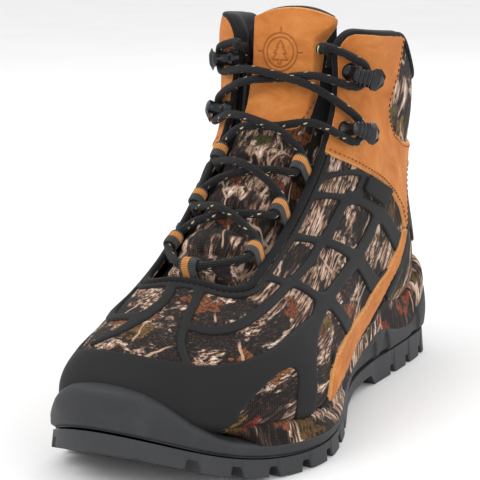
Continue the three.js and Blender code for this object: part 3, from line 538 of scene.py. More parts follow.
def mesh_object(name, points, faces, flat=None, sharp_angle=50):
    """A mesh of the last's millimetres, as an object in the row frame. Faces are arrays of 3 or 4 columns."""
    mesh = bpy.data.meshes.new(name)
    mesh.vertices.add(len(points))
    mesh.vertices.foreach_set("co", to_row(points).astype(np.float32).ravel())
    loops = np.concatenate([f.ravel() for f in faces]).astype(np.int32)
    sizes = np.concatenate([np.full(len(f), f.shape[1], np.int32) for f in faces])
    mesh.loops.add(len(loops))
    mesh.loops.foreach_set("vertex_index", loops)
    mesh.polygons.add(len(sizes))
    mesh.polygons.foreach_set("loop_start", (np.cumsum(sizes) - sizes).astype(np.int32))
    mesh.polygons.foreach_set("loop_total", sizes)
    mesh.update(calc_edges=True)
    mesh.polygons.foreach_set("use_smooth", np.ones(len(sizes), bool))
    mesh.set_sharp_from_angle(angle=math.radians(sharp_angle))
    if flat is not None:
        attribute = mesh.attributes.new("flat", "FLOAT_VECTOR", "POINT")
        attribute.data.foreach_set("vector", np.asarray(flat, np.float32).ravel())
    obj = bpy.data.objects.new(name, mesh)
    bpy.context.scene.collection.objects.link(obj)
    return obj


def finish_piece(obj, material, body="boot", replaced=()):
    obj.data.materials.append(material)
    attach(obj, body)
    if replaced:
        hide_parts(*replaced)
    return obj


def two_sided(patch, top, bottom):
    """The points and faces of a closed body between two faces of a patch."""
    count = len(patch.point)
    a, b = patch.border.T
    return (np.concatenate([top, bottom]),
            [patch.faces, patch.faces[:, ::-1] + count, np.stack([b, a, a + count, b + count], -1)])


UNDER = -0.3


def layer(name, patch, top, bottom=UNDER):
    """A closed piece between two heights off the surface, given for each vertex of the patch."""
    heights = [np.broadcast_to(height, len(patch.point))[:, None] for height in (top, bottom)]
    points, faces = two_sided(patch, *(patch.point + patch.normal * height for height in heights))
    flat = np.concatenate([patch.flat, patch.depth[:, None]], 1)
    return mesh_object(name, points, faces, np.concatenate([flat, flat]))


def edge_round(depth, thickness, radius, low=0.35):
    """Height that rises from a share of the thickness at the edge to all of it, round like a moulded lip."""
    t = np.clip(depth / radius, 0, 1)
    return thickness * (low + (1 - low) * np.sqrt(1 - (1 - t) ** 2))


def grid_quads(rows, columns, closed=False):
    """Quads over rings of points, the last ring joined to the first where it is closed."""
    index = np.arange(rows * columns).reshape(rows, columns)
    right = np.roll(index, -1, 1)
    quads = np.stack([index, right, np.roll(right, -1, 0), np.roll(index, -1, 0)], -1)
    return (quads if closed else quads[:-1]).reshape(-1, 4)


def loft(rings, closed=False):
    """Points and faces through rings of points, with a fan over each end unless the rings close."""
    rows, columns = rings.shape[:2]
    points, faces = rings.reshape(-1, 3), [grid_quads(rows, columns, closed)]
    if not closed:
        points = np.concatenate([points, rings[[0, -1]].mean(1)])
        index = np.arange(columns)
        right, last = np.roll(index, -1), (rows - 1) * columns
        faces += [np.stack([right, index, np.full(columns, rows * columns)], -1),
                  np.stack([index + last, right + last, np.full(columns, rows * columns + 1)], -1)]
    return points, faces


def sweep(name, path, first, second, profile, closed=False):
    """Profile points (a, b), the same for all or one set for each path point, carried along a path."""
    profile = np.broadcast_to(profile, (len(path),) + np.shape(profile)[-2:])
    rings = path[:, None] + first[:, None] * profile[..., :1] + second[:, None] * profile[..., 1:2]
    rows, columns = rings.shape[:2]
    points, faces = loft(rings, closed)
    flat = np.zeros((len(points), 3))
    flat[:rows * columns, 0] = np.repeat(run_lengths(spacing(path)), columns)
    flat[:rows * columns, 1] = np.tile(np.arange(columns) / columns, rows)
    return mesh_object(name, points, faces, flat)


def circle(sides, radius_a, radius_b=None):
    turn = np.arange(sides) / sides * 2 * np.pi
    return np.stack([radius_a * np.cos(turn), (radius_b or radius_a) * np.sin(turn)], -1)


def resample(points, step, closed=False):
    """Points spaced evenly along a line."""
    if closed:
        points = np.vstack([points, points[:1]])
    lengths = run_lengths(spacing(points[:, :3]))
    count = max(int(round(lengths[-1] / step)), 2)
    at = np.linspace(0, lengths[-1], count + 1)[:-1 if closed else None]
    return np.stack([np.interp(at, lengths, column) for column in points.T], -1)


def smooth_line(points, times, closed=False):
    for _ in range(times):
        before, after = np.roll(points, 1, 0), np.roll(points, -1, 0)
        moved = 0.5 * points + 0.25 * (before + after)
        if not closed:
            moved[0], moved[-1] = points[0], points[-1]
        points = moved
    return points


def edge_line(patch, line, closed, step, smoothing=6):
    """Evenly spaced points and normals along an edge of a patch."""
    both_values = np.concatenate([patch.point[line], patch.normal[line]], 1)
    both_values = smooth_line(resample(both_values, step, closed), smoothing, closed)
    return both_values[:, :3], unit(both_values[:, 3:])


# A stitch's cross sections: how far along its half length, and how thick.
STITCH_SHARES = np.array([-1, -0.8, -0.3, 0.3, 0.8, 1.0])
STITCH_SWELL = np.array([0.1, 0.65, 1, 1, 0.65, 0.1])
STITCH_LIFT, STITCH_DIP = -0.1, 0.45


def stitches(name, lines, length=2.3, gap=1.1, radius=0.34):
    """Short rounded threads laid end to end along lines of points and normals."""
    points, faces = [], []
    ring = circle(6, 1)
    quads = np.concatenate([grid_quads(6, 6)[:, [0, 3, 2, 1]],
                            [[0, 1, 2, 3], [0, 3, 4, 5], [30, 33, 32, 31], [30, 35, 34, 33]]])
    for path, normal in lines:
        even = resample(np.concatenate([path, normal], 1), length + gap)
        tangents = unit(np.gradient(even[:, :3], axis=0))
        for centre, up, tangent in zip(even[:, :3], unit(even[:, 3:]), tangents):
            across = np.cross(tangent, up)
            base = 6 * len(points)
            for share, size in zip(STITCH_SHARES, STITCH_SWELL):
                lift = STITCH_LIFT + radius * 0.5 - STITCH_DIP * share ** 4
                middle = centre + tangent * share * length / 2 + up * lift
                points.append(middle + radius * size * (ring[:, :1] * across + ring[:, 1:] * up))
            faces.append(quads + base)
    return mesh_object(name, np.concatenate(points), faces, None, 60)


# ---------------------------------------------------------------- materials


MM = (1000, 1000, 1000)


class Graph:
    """A material's nodes, added one call at a time."""

    def __init__(self, name):
        self.material = bpy.data.materials.new(name)
        self.material.use_nodes = True
        self.tree = self.material.node_tree
        self.tree.nodes.clear()
        output = self.tree.nodes.new("ShaderNodeOutputMaterial")
        self.shader = self.tree.nodes.new("ShaderNodeBsdfPrincipled")
        self.tree.links.new(self.shader.outputs[0], output.inputs[0])

    def set(self, socket, value):
        if isinstance(value, bpy.types.NodeSocket):
            self.tree.links.new(value, socket)
        elif socket.type == "RGBA" and len(value) == 3:
            socket.default_value = (*value, 1)
        else:
            socket.default_value = value

    def node(self, kind, settings=None, **inputs):
        """Inputs are given by name, or by number as i0, i1 and so on."""
        node = self.tree.nodes.new("ShaderNode" + kind)
        for key, value in (settings or {}).items():
            setattr(node, key, value)
        for key, value in inputs.items():
            numbered = key[0] == "i" and key[1:].isdigit()
            self.set(node.inputs[int(key[1:]) if numbered else key.replace("_", " ")], value)
        return node

    def flat(self):
        """The piece's own coordinates, in millimetres: across, along and in from the edge."""
        return self.node("Attribute", {"attribute_name": "flat"}).outputs["Vector"]

    def flat_parts(self):
        return self.node("SeparateXYZ", i0=self.flat()).outputs

    def place(self, scale=MM):
        """Coordinates in space, in metres times a scale."""
        return self.mapped(self.node("TexCoord").outputs["Object"], scale)

    def mapped(self, vector, scale=(1, 1, 1), turn=0.0):
        return self.node("Mapping", Vector=vector, Scale=scale, Rotation=(0, 0, turn)).outputs[0]

    def noise(self, vector, scale=1.0, detail=3.0, roughness=0.5, distortion=0.0, output=0):
        return self.node("TexNoise", Vector=vector, Scale=scale, Detail=detail, Roughness=roughness,
                         Distortion=distortion).outputs[output]

    def voronoi(self, vector, scale, **settings):
        return self.node("TexVoronoi", settings, Vector=vector, Scale=scale).outputs

    def bands(self, vector, direction, scale, distortion):
        return self.node("TexWave", {"wave_type": "BANDS", "bands_direction": direction}, Vector=vector,
                         Scale=scale, Distortion=distortion, Detail=1.0).outputs[1]

    def math(self, operation, a, b=0.0):
        return self.node("Math", {"operation": operation}, i0=a, i1=b).outputs[0]

    def plus(self, a, b):
        return self.math("ADD", a, b)

    def times(self, a, b):
        return self.math("MULTIPLY", a, b)

    def near(self, value, middle, reach):
        """1 where a value lies within reach of the middle, and 0 elsewhere."""
        return self.math("LESS_THAN", self.math("ABSOLUTE", self.math("SUBTRACT", value, middle)), reach)

    def moved(self, vector, by, scale):
        """A vector, moved by another one times a scale."""
        shift = self.node("VectorMath", {"operation": "MULTIPLY"}, i0=by, i1=scale).outputs[0]
        return self.node("VectorMath", {"operation": "ADD"}, i0=vector, i1=shift).outputs[0]

    def ramp(self, value, *stops):
        """Stops are (position, grey or colour)."""
        node = self.node("ValToRGB", i0=value)
        elements = node.color_ramp.elements
        while len(elements) < len(stops):
            elements.new(0.5)
        for element, (position, colour) in zip(elements, stops):
            element.position = position
            element.color = (*colour, 1) if isinstance(colour, tuple) else (colour, colour, colour, 1)
        return node.outputs[0]

    def mix(self, share, a, b):
        node = self.node("Mix", {"data_type": "RGBA"}, i0=share, i6=a, i7=b)
        return node.outputs[2]

    def done(self, bump, distance, strength, **inputs):
        """The finished material; the bump's distance is in metres."""
        inputs["Normal"] = self.node("Bump", Height=bump, Distance=distance, Strength=strength).outputs[0]
        for key, value in inputs.items():
            self.set(self.shader.inputs[key.replace("_", " ")], value)
        return self.material


def scaled(colour, factor):
    return tuple(c * factor for c in colour)


def camouflage():
    """Woven cloth printed with bark, shadow, twigs and a few autumn leaves, with painted shade between the weave's
    ribs.
    """
    g = Graph("camo_cloth")
    flat = g.flat()
    wander = g.noise(flat, 0.035, 2)
    bend = g.node("VectorMath", {"operation": "SUBTRACT"}, i0=g.noise(flat, 0.06, 2, output=1),
                  i1=(0.5, 0.5, 0.5)).outputs[0]
    bent = g.moved(flat, bend, (5, 5, 0))
    grain = g.mapped(bent, (1, 0.11, 1), 0.12)
    bark = g.ramp(g.noise(grain, 0.38, 4, 0.64, 0.05),
                  (0.36, (0.012, 0.008, 0.007)), (0.44, (0.075, 0.038, 0.026)), (0.49, (0.33, 0.185, 0.120)),
                  (0.55, (0.62, 0.41, 0.29)), (0.64, (0.90, 0.72, 0.60)))
    cracks = g.noise(g.mapped(bent, (1, 0.16, 1), -0.1), 0.62, 3, 0.6, 0.1)
    bark = g.mix(g.ramp(cracks, (0.40, 1.0), (0.47, 0.0)), bark, (0.013, 0.008, 0.007))
    speckle = g.ramp(g.noise(flat, 1.5, 2, 0.6), (0.58, 0.0), (0.66, 0.8))
    bark = g.mix(speckle, bark, (0.024, 0.015, 0.012))
    shade = g.ramp(g.noise(grain, 0.8, 4, 0.6, 0.1),
                   (0.44, (0.008, 0.006, 0.006)), (0.56, (0.022, 0.013, 0.010)),
                   (0.66, (0.10, 0.055, 0.036)), (0.76, (0.32, 0.19, 0.12)))
    area = g.noise(g.mapped(bent, (1, 0.5, 1)), 0.052, 3, 0.55)
    colour = g.mix(g.ramp(area, (0.49, 0.0), (0.53, 1.0)), shade, bark)
    leaf = g.voronoi(g.moved(flat, bend, (40, 26, 0)), 0.052, voronoi_dimensions="2D")
    leaf_shape = g.math("LESS_THAN", g.plus(leaf[0], g.times(g.noise(flat, 0.3, 3, 0.6), 0.45)), 0.58)
    pick = g.node("SeparateColor", i0=leaf[1]).outputs
    leaf_on = g.times(leaf_shape, g.math("GREATER_THAN", pick[0], 0.62))
    leaf_colour = g.ramp(pick[1], (0.0, (0.26, 0.016, 0.012)), (0.4, (0.28, 0.13, 0.024)),
                         (0.66, (0.075, 0.082, 0.020)), (1.0, (0.30, 0.06, 0.018)))
    veins = g.ramp(g.noise(g.mapped(flat, (1, 0.4, 1)), 0.7, 4, 0.65), (0.42, 0.9), (0.54, 0.0))
    leaf_colour = g.mix(veins, leaf_colour, (0.018, 0.011, 0.008))
    colour = g.mix(g.times(leaf_on, 0.9), colour, leaf_colour)
    twig = g.voronoi(g.mapped(bent, (1, 0.42, 1), 0.35), 0.042, voronoi_dimensions="2D",
                     feature="DISTANCE_TO_EDGE")[0]
    twig_mask = g.times(g.ramp(twig, (0.010, 1.0), (0.024, 0.0)), g.ramp(wander, (0.48, 0.0), (0.54, 0.9)))
    colour = g.mix(twig_mask, colour, (0.60, 0.40, 0.28))
    ribs = g.bands(flat, "Y", 0.32, 0.35)
    weave = g.plus(ribs, g.times(g.bands(flat, "X", 0.45, 0.3), 0.4))
    # Painted shade: the colour is darkened between the weave's ribs, where its bump sinks.
    painted_valley_shade = g.times(g.math("SUBTRACT", 1.0, ribs), 0.28)
    colour = g.mix(painted_valley_shade, colour, g.mix(0.5, colour, (0.01, 0.008, 0.008)))
    return g.done(weave, 0.00035, 0.8, Base_Color=colour, Roughness=g.ramp(area, (0.4, 0.86), (0.6, 0.76)),
                  Sheen_Weight=0.05, Sheen_Roughness=0.5, Specular_IOR_Level=0.2)


def nubuck():
    """Brushed tan leather, paler where the nap lies flat and along a raw cut edge, dark where it is pressed."""
    g = Graph("nubuck")
    flat = g.flat()
    colour = g.ramp(g.noise(flat, 0.045, 4, 0.6, 0.5), (0.30, (0.42, 0.130, 0.026)), (0.5, (0.53, 0.180, 0.040)),
                    (0.70, (0.62, 0.245, 0.068)))
    nap = g.noise(flat, 1.3, 4, 0.7)
    colour = g.mix(g.ramp(nap, (0.35, 0.30), (0.62, 0.0)), colour, (0.30, 0.085, 0.016))
    pale = g.ramp(g.noise(flat, 2.6, 2, 0.6), (0.6, 0.0), (0.72, 0.35))
    colour = g.mix(pale, colour, (0.74, 0.36, 0.13))
    edge = g.plus(g.flat_parts()[2], g.times(g.noise(flat, 0.9, 3), 1.1))
    colour = g.mix(g.ramp(g.times(edge, 0.5), (0.32, 0.75), (0.62, 0.0)), colour, (0.78, 0.40, 0.15))
    pressed = g.node("Attribute", {"attribute_name": "mark"}).outputs["Fac"]
    colour = g.mix(g.times(pressed, 0.75), colour, (0.22, 0.07, 0.016))
    grain = g.plus(g.noise(flat, 3.2, 3, 0.65), g.times(g.noise(flat, 0.5, 3), 0.7))
    return g.done(grain, 0.00022, 0.7, Base_Color=colour, Roughness=g.ramp(nap, (0.3, 0.95), (0.7, 0.86)),
                  Sheen_Weight=0.06, Sheen_Roughness=0.55, Specular_IOR_Level=0.15)


def plastic(name, colour, roughness, grain, bump, lighter=1.35, metallic=0.0, shine=0.5):
    """A moulded surface: a fine pebble, slightly scuffed and paler on what stands proud."""
    g = Graph(name)
    place = g.place()
    scuff = g.noise(place, 0.06, 4, 0.6)
    base = g.ramp(scuff, (0.3, scaled(colour, 0.82)), (0.52, colour), (0.75, scaled(colour, lighter)))
    # Paler on convex edges, following the surface's pointiness.
    paler_on_convex_edges = g.ramp(g.node("NewGeometry").outputs["Pointiness"], (0.50, 0.0), (0.56, 0.35))
    return g.done(g.noise(place, grain, 3, 0.6), bump, 0.6, Base_Color=g.mix(paler_on_convex_edges, base, scaled(colour, 2.2)),
                  Roughness=g.plus(roughness - 0.08, g.times(scuff, 0.16)), Metallic=metallic,
                  Specular_IOR_Level=shine)


def knit(name, colour, scale, sheen):
    """Plain dark textile, with a fine regular weave and painted shade in its hollows."""
    g = Graph(name)
    place = g.place()
    weave = g.voronoi(place, scale * 2)[0]
    # Painted shade: darker where the weave's bump sinks, at the cells' edges.
    base = g.mix(g.ramp(weave, (0.2, 0.0), (0.8, 0.6)), colour, scaled(colour, 0.4))
    base = g.mix(g.times(g.noise(place, 0.1, 3), 0.35), base, scaled(colour, 1.9))
    return g.done(weave, 0.00035, -0.8, Base_Color=base, Roughness=0.93, Sheen_Weight=sheen,
                  Sheen_Roughness=0.5, Specular_IOR_Level=0.25)


BRAID_TURN = 3.1
BRAID_STRANDS = 6


def braid():
    """Round braided lace: black with painted shade between the strands, and paired pale ticks every few
    millimetres. Flat x runs along it.
    """
    g = Graph("braided_lace")
    along, around = g.flat_parts()[:2]
    strands = [g.math("SINE", g.plus(g.times(along, BRAID_TURN),
                                     g.times(around, sign * 2 * BRAID_STRANDS * math.pi))) for sign in (1, -1)]
    woven = g.times(*strands)
    turn = g.math("FRACT", g.plus(g.times(along, 1 / 11.5), g.times(around, 2.0)))
    tick = g.times(g.near(turn, 0.5, 0.085),
                   g.math("GREATER_THAN", g.math("SINE", g.times(along, 1.64)), 0.05))
    strand = g.math("FRACT", g.plus(g.times(around, 4.0), g.times(along, 0.087)))
    fleck = g.times(tick, g.near(strand, 0.5, 0.17))
    # Painted shade: the black goes darker where the braid's bump sinks between strands.
    black = g.ramp(woven, (0.0, (0.004, 0.004, 0.005)), (0.7, (0.013, 0.013, 0.014)))
    return g.done(woven, 0.0004, 0.9, Base_Color=g.mix(fleck, black, (0.58, 0.47, 0.30)), Roughness=0.66,
                  Sheen_Weight=0.05, Sheen_Roughness=0.4, Specular_IOR_Level=0.3)


WEBBING_RIB = 0.8


def grosgrain():
    """Ribbed webbing, black with an orange stripe, both with painted shade between the ribs and painted highlight
    on their crests. Flat x runs along the tape and y across it.
    """
    g = Graph("grosgrain")
    along, across = g.flat_parts()[:2]
    rib = g.math("SINE", g.times(along, 2 * math.pi / WEBBING_RIB))
    # Painted shade and painted highlight: both colours darken between the ribs and lighten on their crests,
    # following the bump.
    black = g.mix(g.ramp(rib, (0.1, 0.0), (0.9, 1.0)), (0.006, 0.006, 0.007), (0.035, 0.036, 0.040))
    orange = g.mix(g.ramp(rib, (0.0, 0.0), (0.8, 1.0)), (0.36, 0.11, 0.010), (0.80, 0.33, 0.045))
    orange = g.mix(g.times(g.noise(g.flat(), 2.0, 3), 0.4), orange, (0.5, 0.2, 0.03))
    return g.done(rib, 0.00025, 0.7, Base_Color=g.mix(g.near(across, 1.3, 1.9), black, orange),
                  Roughness=0.72, Sheen_Weight=0.2)


def thread(name, colour):
    g = Graph(name)
    twist = g.noise(g.place(), 2.5, 2)
    return g.done(twist, 0.0001, 0.5, Base_Color=g.mix(g.times(twist, 0.6), colour, scaled(colour, 0.4)),
                  Roughness=0.7)


CAMO = camouflage()
NUBUCK = nubuck()
MOULDING = plastic("matte_moulding", (0.0078, 0.0079, 0.0084), 0.70, 2.4, 0.00004, shine=0.28)
RUBBER = plastic("sole_rubber", (0.021, 0.0218, 0.024), 0.6, 1.1, 0.00012, 1.5, shine=0.4)
HOOK_FINISH = plastic("hook_lacquer", (0.010, 0.0105, 0.012), 0.24, 0.9, 0.00002, 1.2, 0.35)
LINING = knit("black_knit", (0.012, 0.012, 0.013), 0.5, 0.1)
BINDING = knit("black_binding", (0.008, 0.008, 0.009), 0.8, 0.05)
LACE = braid()
WEBBING = grosgrain()
BROWN_THREAD = thread("brown_thread", (0.10, 0.030, 0.012))
BLACK_THREAD = thread("black_thread", (0.012, 0.012, 0.013))

# ---------------------------------------------------------------- fabric and overlays of the upper

upper = Sheet((0, LAST_STATION), (-1, 1), 0.95, closed=True)
x, y = upper.point[..., 0], upper.point[..., 1]
opening = upper.outside_opening()
throat = upper.outside_throat()
above_wall = upper.above_wall()
flap = upper.side(LEATHER_FLAP, 1)
strip = upper.side(STRIP, 2)
rolling = value_noise(upper.point, 26, 3) * 0.35 + value_noise(upper.point, 11, 4) * 0.12

FABRIC_UNDER_WALL, FABRIC_THICKNESS = 7.0, 1.7
fabric_patch = Patch(upper, both(opening - 0.6, above_wall + FABRIC_UNDER_WALL))
fabric_top = fabric_patch.take(np.clip(rolling, -0.4, 0.1))
finish_piece(layer("upper_fabric", fabric_patch, fabric_top, -FABRIC_THICKNESS), CAMO, "boot",
             ("vamp", "quarter_outer", "quarter_inner", "heel_panel", "collar_back_panel"))

LEATHER_GAP, WINDOW_CORNER = 0.3, 1.5
off_leather = both(-strip - LEATHER_GAP, -flap - LEATHER_GAP)
over_toe = upper.side(np.vstack([TOE_CAP_EDGE, [(-33, 150), (-170, 150)]]), 1)
toe_outline = np.vstack([TOE_CAP_EDGE, TOE_CAP_UNDERSIDE])
toe_cap = both(upper.side(toe_outline, 1), -upper.side(TOE_CAP_WINDOW, 2), WINDOW_CORNER)
mirrored_bars = [[(v, -angle, width) for v, angle, width in bar] for bar in BARS]
moulded = either(upper.bars(BARS + OUTER_BARS), upper.bars(mirrored_bars + INNER_BARS), BAR_FILLET)
for more in (FRAME_EDGE - throat, both(toe_cap, above_wall + 5)):
    moulded = either(moulded, more, BAR_FILLET)
moulded = both(moulded, -upper.side(LOW_WINDOW, 2), WINDOW_CORNER)
moulded = both(both(moulded, throat - PLACKET_EDGE - 0.3), off_leather)
in_web = upper.true(y - WEB_SEAM)

MOULDING_BASE, MOULDING_THICKNESS, MOULDING_ROUND = 0.25, 1.2, 1.4


def moulded_piece(name, zone):
    """One node's share of the moulding, with rounded edges only where the whole moulding ends."""
    patch = Patch(upper, both(moulded, zone))
    top = MOULDING_BASE + edge_round(patch.take(moulded), MOULDING_THICKNESS, MOULDING_ROUND)
    finish_piece(layer(name, patch, top), MOULDING, "boot", (name,))


moulded_piece("web_overlay_outer", both(in_web, upper.true(x)))
moulded_piece("web_overlay_inner", both(in_web, upper.true(-x)))
moulded_piece("toe_cap", both(-in_web, -over_toe))
moulded_piece("vamp_ribs", both(-in_web, over_toe))

patch = Patch(upper, both(upper.side(HEEL_OVERLAY, 2), off_leather))
top = MOULDING_BASE + edge_round(patch.depth, MOULDING_THICKNESS, MOULDING_ROUND)
finish_piece(layer("heel_overlay", patch, top), MOULDING, "boot", ("heel_overlay",))

placket_patch = Patch(upper, both(both(throat - 0.2, PLACKET_EDGE - throat), -flap - 0.5))
roll = np.exp(-((placket_patch.take(throat) - PLACKET_EDGE / 2) / 1.6) ** 2)
placket = layer("placket", placket_patch, 0.3 + edge_round(placket_patch.depth, 0.8, 1.2) + 0.9 * roll)
finish_piece(placket, BINDING, "boot", ("placket",))

# ---------------------------------------------------------------- leather

leather_edge = 0.35 * value_noise(upper.point, 1.6, 8) + 0.25 * value_noise(upper.point, 4, 9)
flap_field = both(flap, opening - 2.0) + leather_edge
strip_field = both(strip + leather_edge, -flap - 0.2)
for side, sign in (("outer", 1), ("inner", -1)):
    this_side = upper.true(sign * x)
    patch = Patch(upper, both(flap_field, this_side))
    top = 0.3 + edge_round(patch.depth, 1.5, 1.0, 0.55) + patch.take(rolling) * 0.8
    name = "leather_flap_" + side
    finish_piece(layer(name, patch, top), NUBUCK, "boot", (name,))
    patch = Patch(upper, both(strip_field, this_side))
    top = 0.4 + edge_round(patch.depth, 1.8, 1.2, 0.5) + 0.5 * np.exp(-((patch.depth - 4) / 3) ** 2)
    name = "leather_strip_" + side
    finish_piece(layer(name, patch, top), NUBUCK, "boot", (name,))


def seam_lines(field, level, wanted, sheet=upper):
    """Lines along a level of a field where a wanted field is above zero."""
    patch = Patch(sheet, field - level)
    keep = patch.take(wanted)
    lines = []
    for line, closed in patch.contour_lines():
        on = (keep[line] > 0) & patch.is_cut[line]
        if closed and on.all():
            lines.append(edge_line(patch, line, True, 1.0))
            continue
        if closed:
            start = int(np.argmin(on))
            line, on = np.roll(line, -start), np.roll(on, -start)
        runs = np.split(np.arange(len(line)), np.flatnonzero(np.diff(on.astype(int))) + 1)
        lines += [edge_line(patch, line[run], False, 1.0) for run in runs if on[run[0]] and len(run) > 6]
    return lines


def lifted(lines, height):
    return [(path + normal * height, normal) for path, normal in lines]


flap_seams = seam_lines(flap, 2.2, both(opening - 5, 140 - y))
finish_piece(stitches("flap_stitching", lifted(flap_seams, 1.95)), BROWN_THREAD)
placket_seams = seam_lines(throat, PLACKET_EDGE + 0.9, -flap - 2)
finish_piece(stitches("placket_stitching", lifted(placket_seams, 1.35), 2.0, 1.2, 0.28), BLACK_THREAD)

# ---------------------------------------------------------------- collar

rim_patch = Patch(upper, both(opening - 1.4, above_wall))
path, normal = max((edge_line(rim_patch, line[rim_patch.is_cut[line]], closed, 1.2, 10)
                    for line, closed in rim_patch.contour_lines()
                    if rim_patch.take(throat)[line].min() < 3), key=lambda found: len(found[0]))
along = unit(np.gradient(path, axis=0))
out_of = unit(normal - (normal * along).sum(-1, keepdims=True) * along)
towards = np.cross(along, out_of)
piping = sweep("edge_piping", path + normal * 0.3, out_of, towards, circle(14, 1.5, 1.6), closed=True)
finish_piece(piping, BINDING)

# The padded roll of the collar, thick round the ankle and thin down the sides of the throat.
COLLAR_BACK, COLLAR_MIDDLE = 60, np.array([0, 60, 215])
rim_height = np.where(path[:, 1] > COLLAR_BACK, 0, RIM_Z - path @ RIM_PLANE)
inwards = towards * (np.sign((towards * unit(COLLAR_MIDDLE - path)).sum(-1).mean()) or 1)
ROLL_PROFILE = np.array([(-0.4, -3.2), (0.1, 0.0), (-1.3, 1.7), (-4.0, 2.4), (-6.8, 1.6), (-8.7, -0.8),
                         (-9.3, -6.0), (-8.9, -12.0), (-7.0, -12.4), (-5.6, -6.0), (-3.0, -4.0)])
THIN_PROFILE = np.array([(-0.4, -3.2), (0.1, -0.6), (-0.8, 0.2), (-1.6, 0.5), (-2.2, 0.3), (-2.6, -0.6),
                         (-2.8, -3.0), (-2.8, -6.0), (-2.5, -6.2), (-2.2, -4.6), (-1.2, -3.6)])
ROLL_END = 60
keep = rim_height < ROLL_END
order = np.roll(np.arange(len(path)), -int(np.argmin(keep)))
order = order[keep[order]]
share = 1 - smooth_step(rim_height[order], 8, 34)[:, None, None]
profile = spline_ring(ROLL_PROFILE, 5) * share + spline_ring(THIN_PROFILE, 5) * (1 - share)
collar = sweep("collar_roll", path[order], out_of[order], inwards[order], profile)
finish_piece(collar, LINING, "boot", ("collar_binding",))

inside = Sheet((1.5, LAST_STATION), (-1, 1), 2.2, closed=True)
lining_patch = Patch(inside, both(inside.outside_throat() - 5, inside.under_rim() - 8))
finish_piece(layer("lining", lining_patch, -6.3, -7.5), LINING, "boot", ("lining",))

# ---------------------------------------------------------------- tag

tag_sheet = Sheet((7.6, 11.5), (0.15, 0.85), 0.5)
tag_patch = Patch(tag_sheet, both(tag_sheet.side(TAG, 1), tag_sheet.true(tag_sheet.point[..., 0])))
tag = layer("side_tag", tag_patch, 2.1 + edge_round(tag_patch.depth, 0.9, 0.8), 1.6)
finish_piece(tag, BINDING, "boot", ("side_tag",))

# ---------------------------------------------------------------- lace hardware


def axes(x_axis, y_axis, z_axis, origin):
    """A function that takes a fitting's own points to the last's frame."""
    basis = np.stack([x_axis, y_axis, z_axis])
    return lambda points: origin + np.asarray(points, float) @ basis


EDGE_X = {"outer": THROAT_OUTER, "inner": THROAT_INNER}
AWAY = {"outer": np.array([1.0, 0, 0]), "inner": np.array([-1.0, 0, 0])}
MIRRORED = {"outer": -1, "inner": 1}
OTHER = {"outer": "inner", "inner": "outer"}


def fitting_axes(away, v, at_x):
    """x away from the throat, y up off the surface, z along the throat."""
    angle = angle_at(v, at_x)
    along = surface_frame(v, angle)[1]
    up = unit(-np.cross(along, [1.0, 0, 0]))
    return axes(away, up, np.cross(away, up), surface(v, angle))


def inside_edge(side, distance):
    return EDGE_X[side] - math.copysign(distance, EDGE_X[side])


def loop_axes(place, v):
    if place != "bottom":
        return fitting_axes(AWAY[place], v, inside_edge(place, LOOP_INSET))
    normal, along = surface_frame(v, 0)
    return axes(-along, normal, np.cross(-along, normal), surface(v, 0))


LOOP_RIB_HEIGHT = 0.10


def webbing_loop(name, place_at, flip):
    """Ribbed tape folded round the lace, with both ends sewn down in the throat."""
    middle = LACE_RADIUS + LOOP_PLAY + LOOP_WALL / 2
    turn = np.linspace(1.5 * np.pi, 0, 64)
    fold = np.stack([middle * np.cos(turn), LOOP_HEIGHT + middle * np.sin(turn)], -1)
    tail = np.stack([np.full(24, middle), np.linspace(LOOP_HEIGHT, -LOOP_TAIL, 25)[1:]], -1)
    line = resample(np.concatenate([fold, tail]), 0.2)
    along = run_lengths(spacing(line))
    tangent = unit(np.gradient(line, axis=0))
    out = np.stack([-tangent[:, 1], tangent[:, 0]], -1)
    bulge = LOOP_RIB_HEIGHT * np.sin(along * 2 * np.pi / WEBBING_RIB)
    width = np.linspace(-1, 1, 15)
    half_wall = LOOP_WALL / 2 * (1 - 0.35 * np.abs(width) ** 8)[None, :, None]
    across = np.broadcast_to(LOOP_WIDTH / 2 * width[:, None], (len(line), 15, 1))
    outer = line[:, None] + out[:, None] * (half_wall + bulge[:, None, None])
    inner = line[:, None] - out[:, None] * half_wall
    ring = np.concatenate([np.concatenate([outer, across], -1), np.concatenate([inner, across], -1)[:, ::-1]], 1)
    rows, columns = ring.shape[:2]
    index = np.arange(columns)
    near, far = index[:15], index[15:][::-1]
    cap = np.stack([near[:-1], far[:-1], far[1:], near[1:]], -1)
    faces = [grid_quads(rows, columns), cap, cap[:, ::-1] + (rows - 1) * columns]
    flat = np.stack([np.repeat(along, columns), flip * ring[..., 2].ravel(), np.zeros(rows * columns)], -1)
    obj = mesh_object(name, place_at(ring.reshape(-1, 3)), faces, flat, 60)
    finish_piece(obj, WEBBING, "boot", (name,))


webbing_loop("lace_loop_bottom", loop_axes("bottom", LOOP_STATIONS["bottom"]), 1)
for side in ("outer", "inner"):
    for i, v in enumerate(LOOP_STATIONS[side]):
        webbing_loop(f"lace_loop_{side}_{i + 1}", loop_axes(side, v), MIRRORED[side])


def hook_axes(side, i):
    """Square to the surface under the hook: x away from the throat, y up, z along the throat."""
    v = HOOK_STATIONS[side][i]
    angle = angle_at(v, HOOK_X[side][i])
    normal, along = surface_frame(v, angle)
    level = unit(np.array([-normal[1], normal[0], 0]))
    away = unit(level + np.cross(along, normal)) * -MIRRORED[side]
    turn = HOOK_TURN[side]
    bent_away = away * math.cos(turn) - normal * math.sin(turn)
    bent_up = normal * math.cos(turn) + away * math.sin(turn)
    return axes(bent_away, bent_up, np.cross(bent_away, bent_up), surface(v, angle))


# ---------------------------------------------------------------- lace


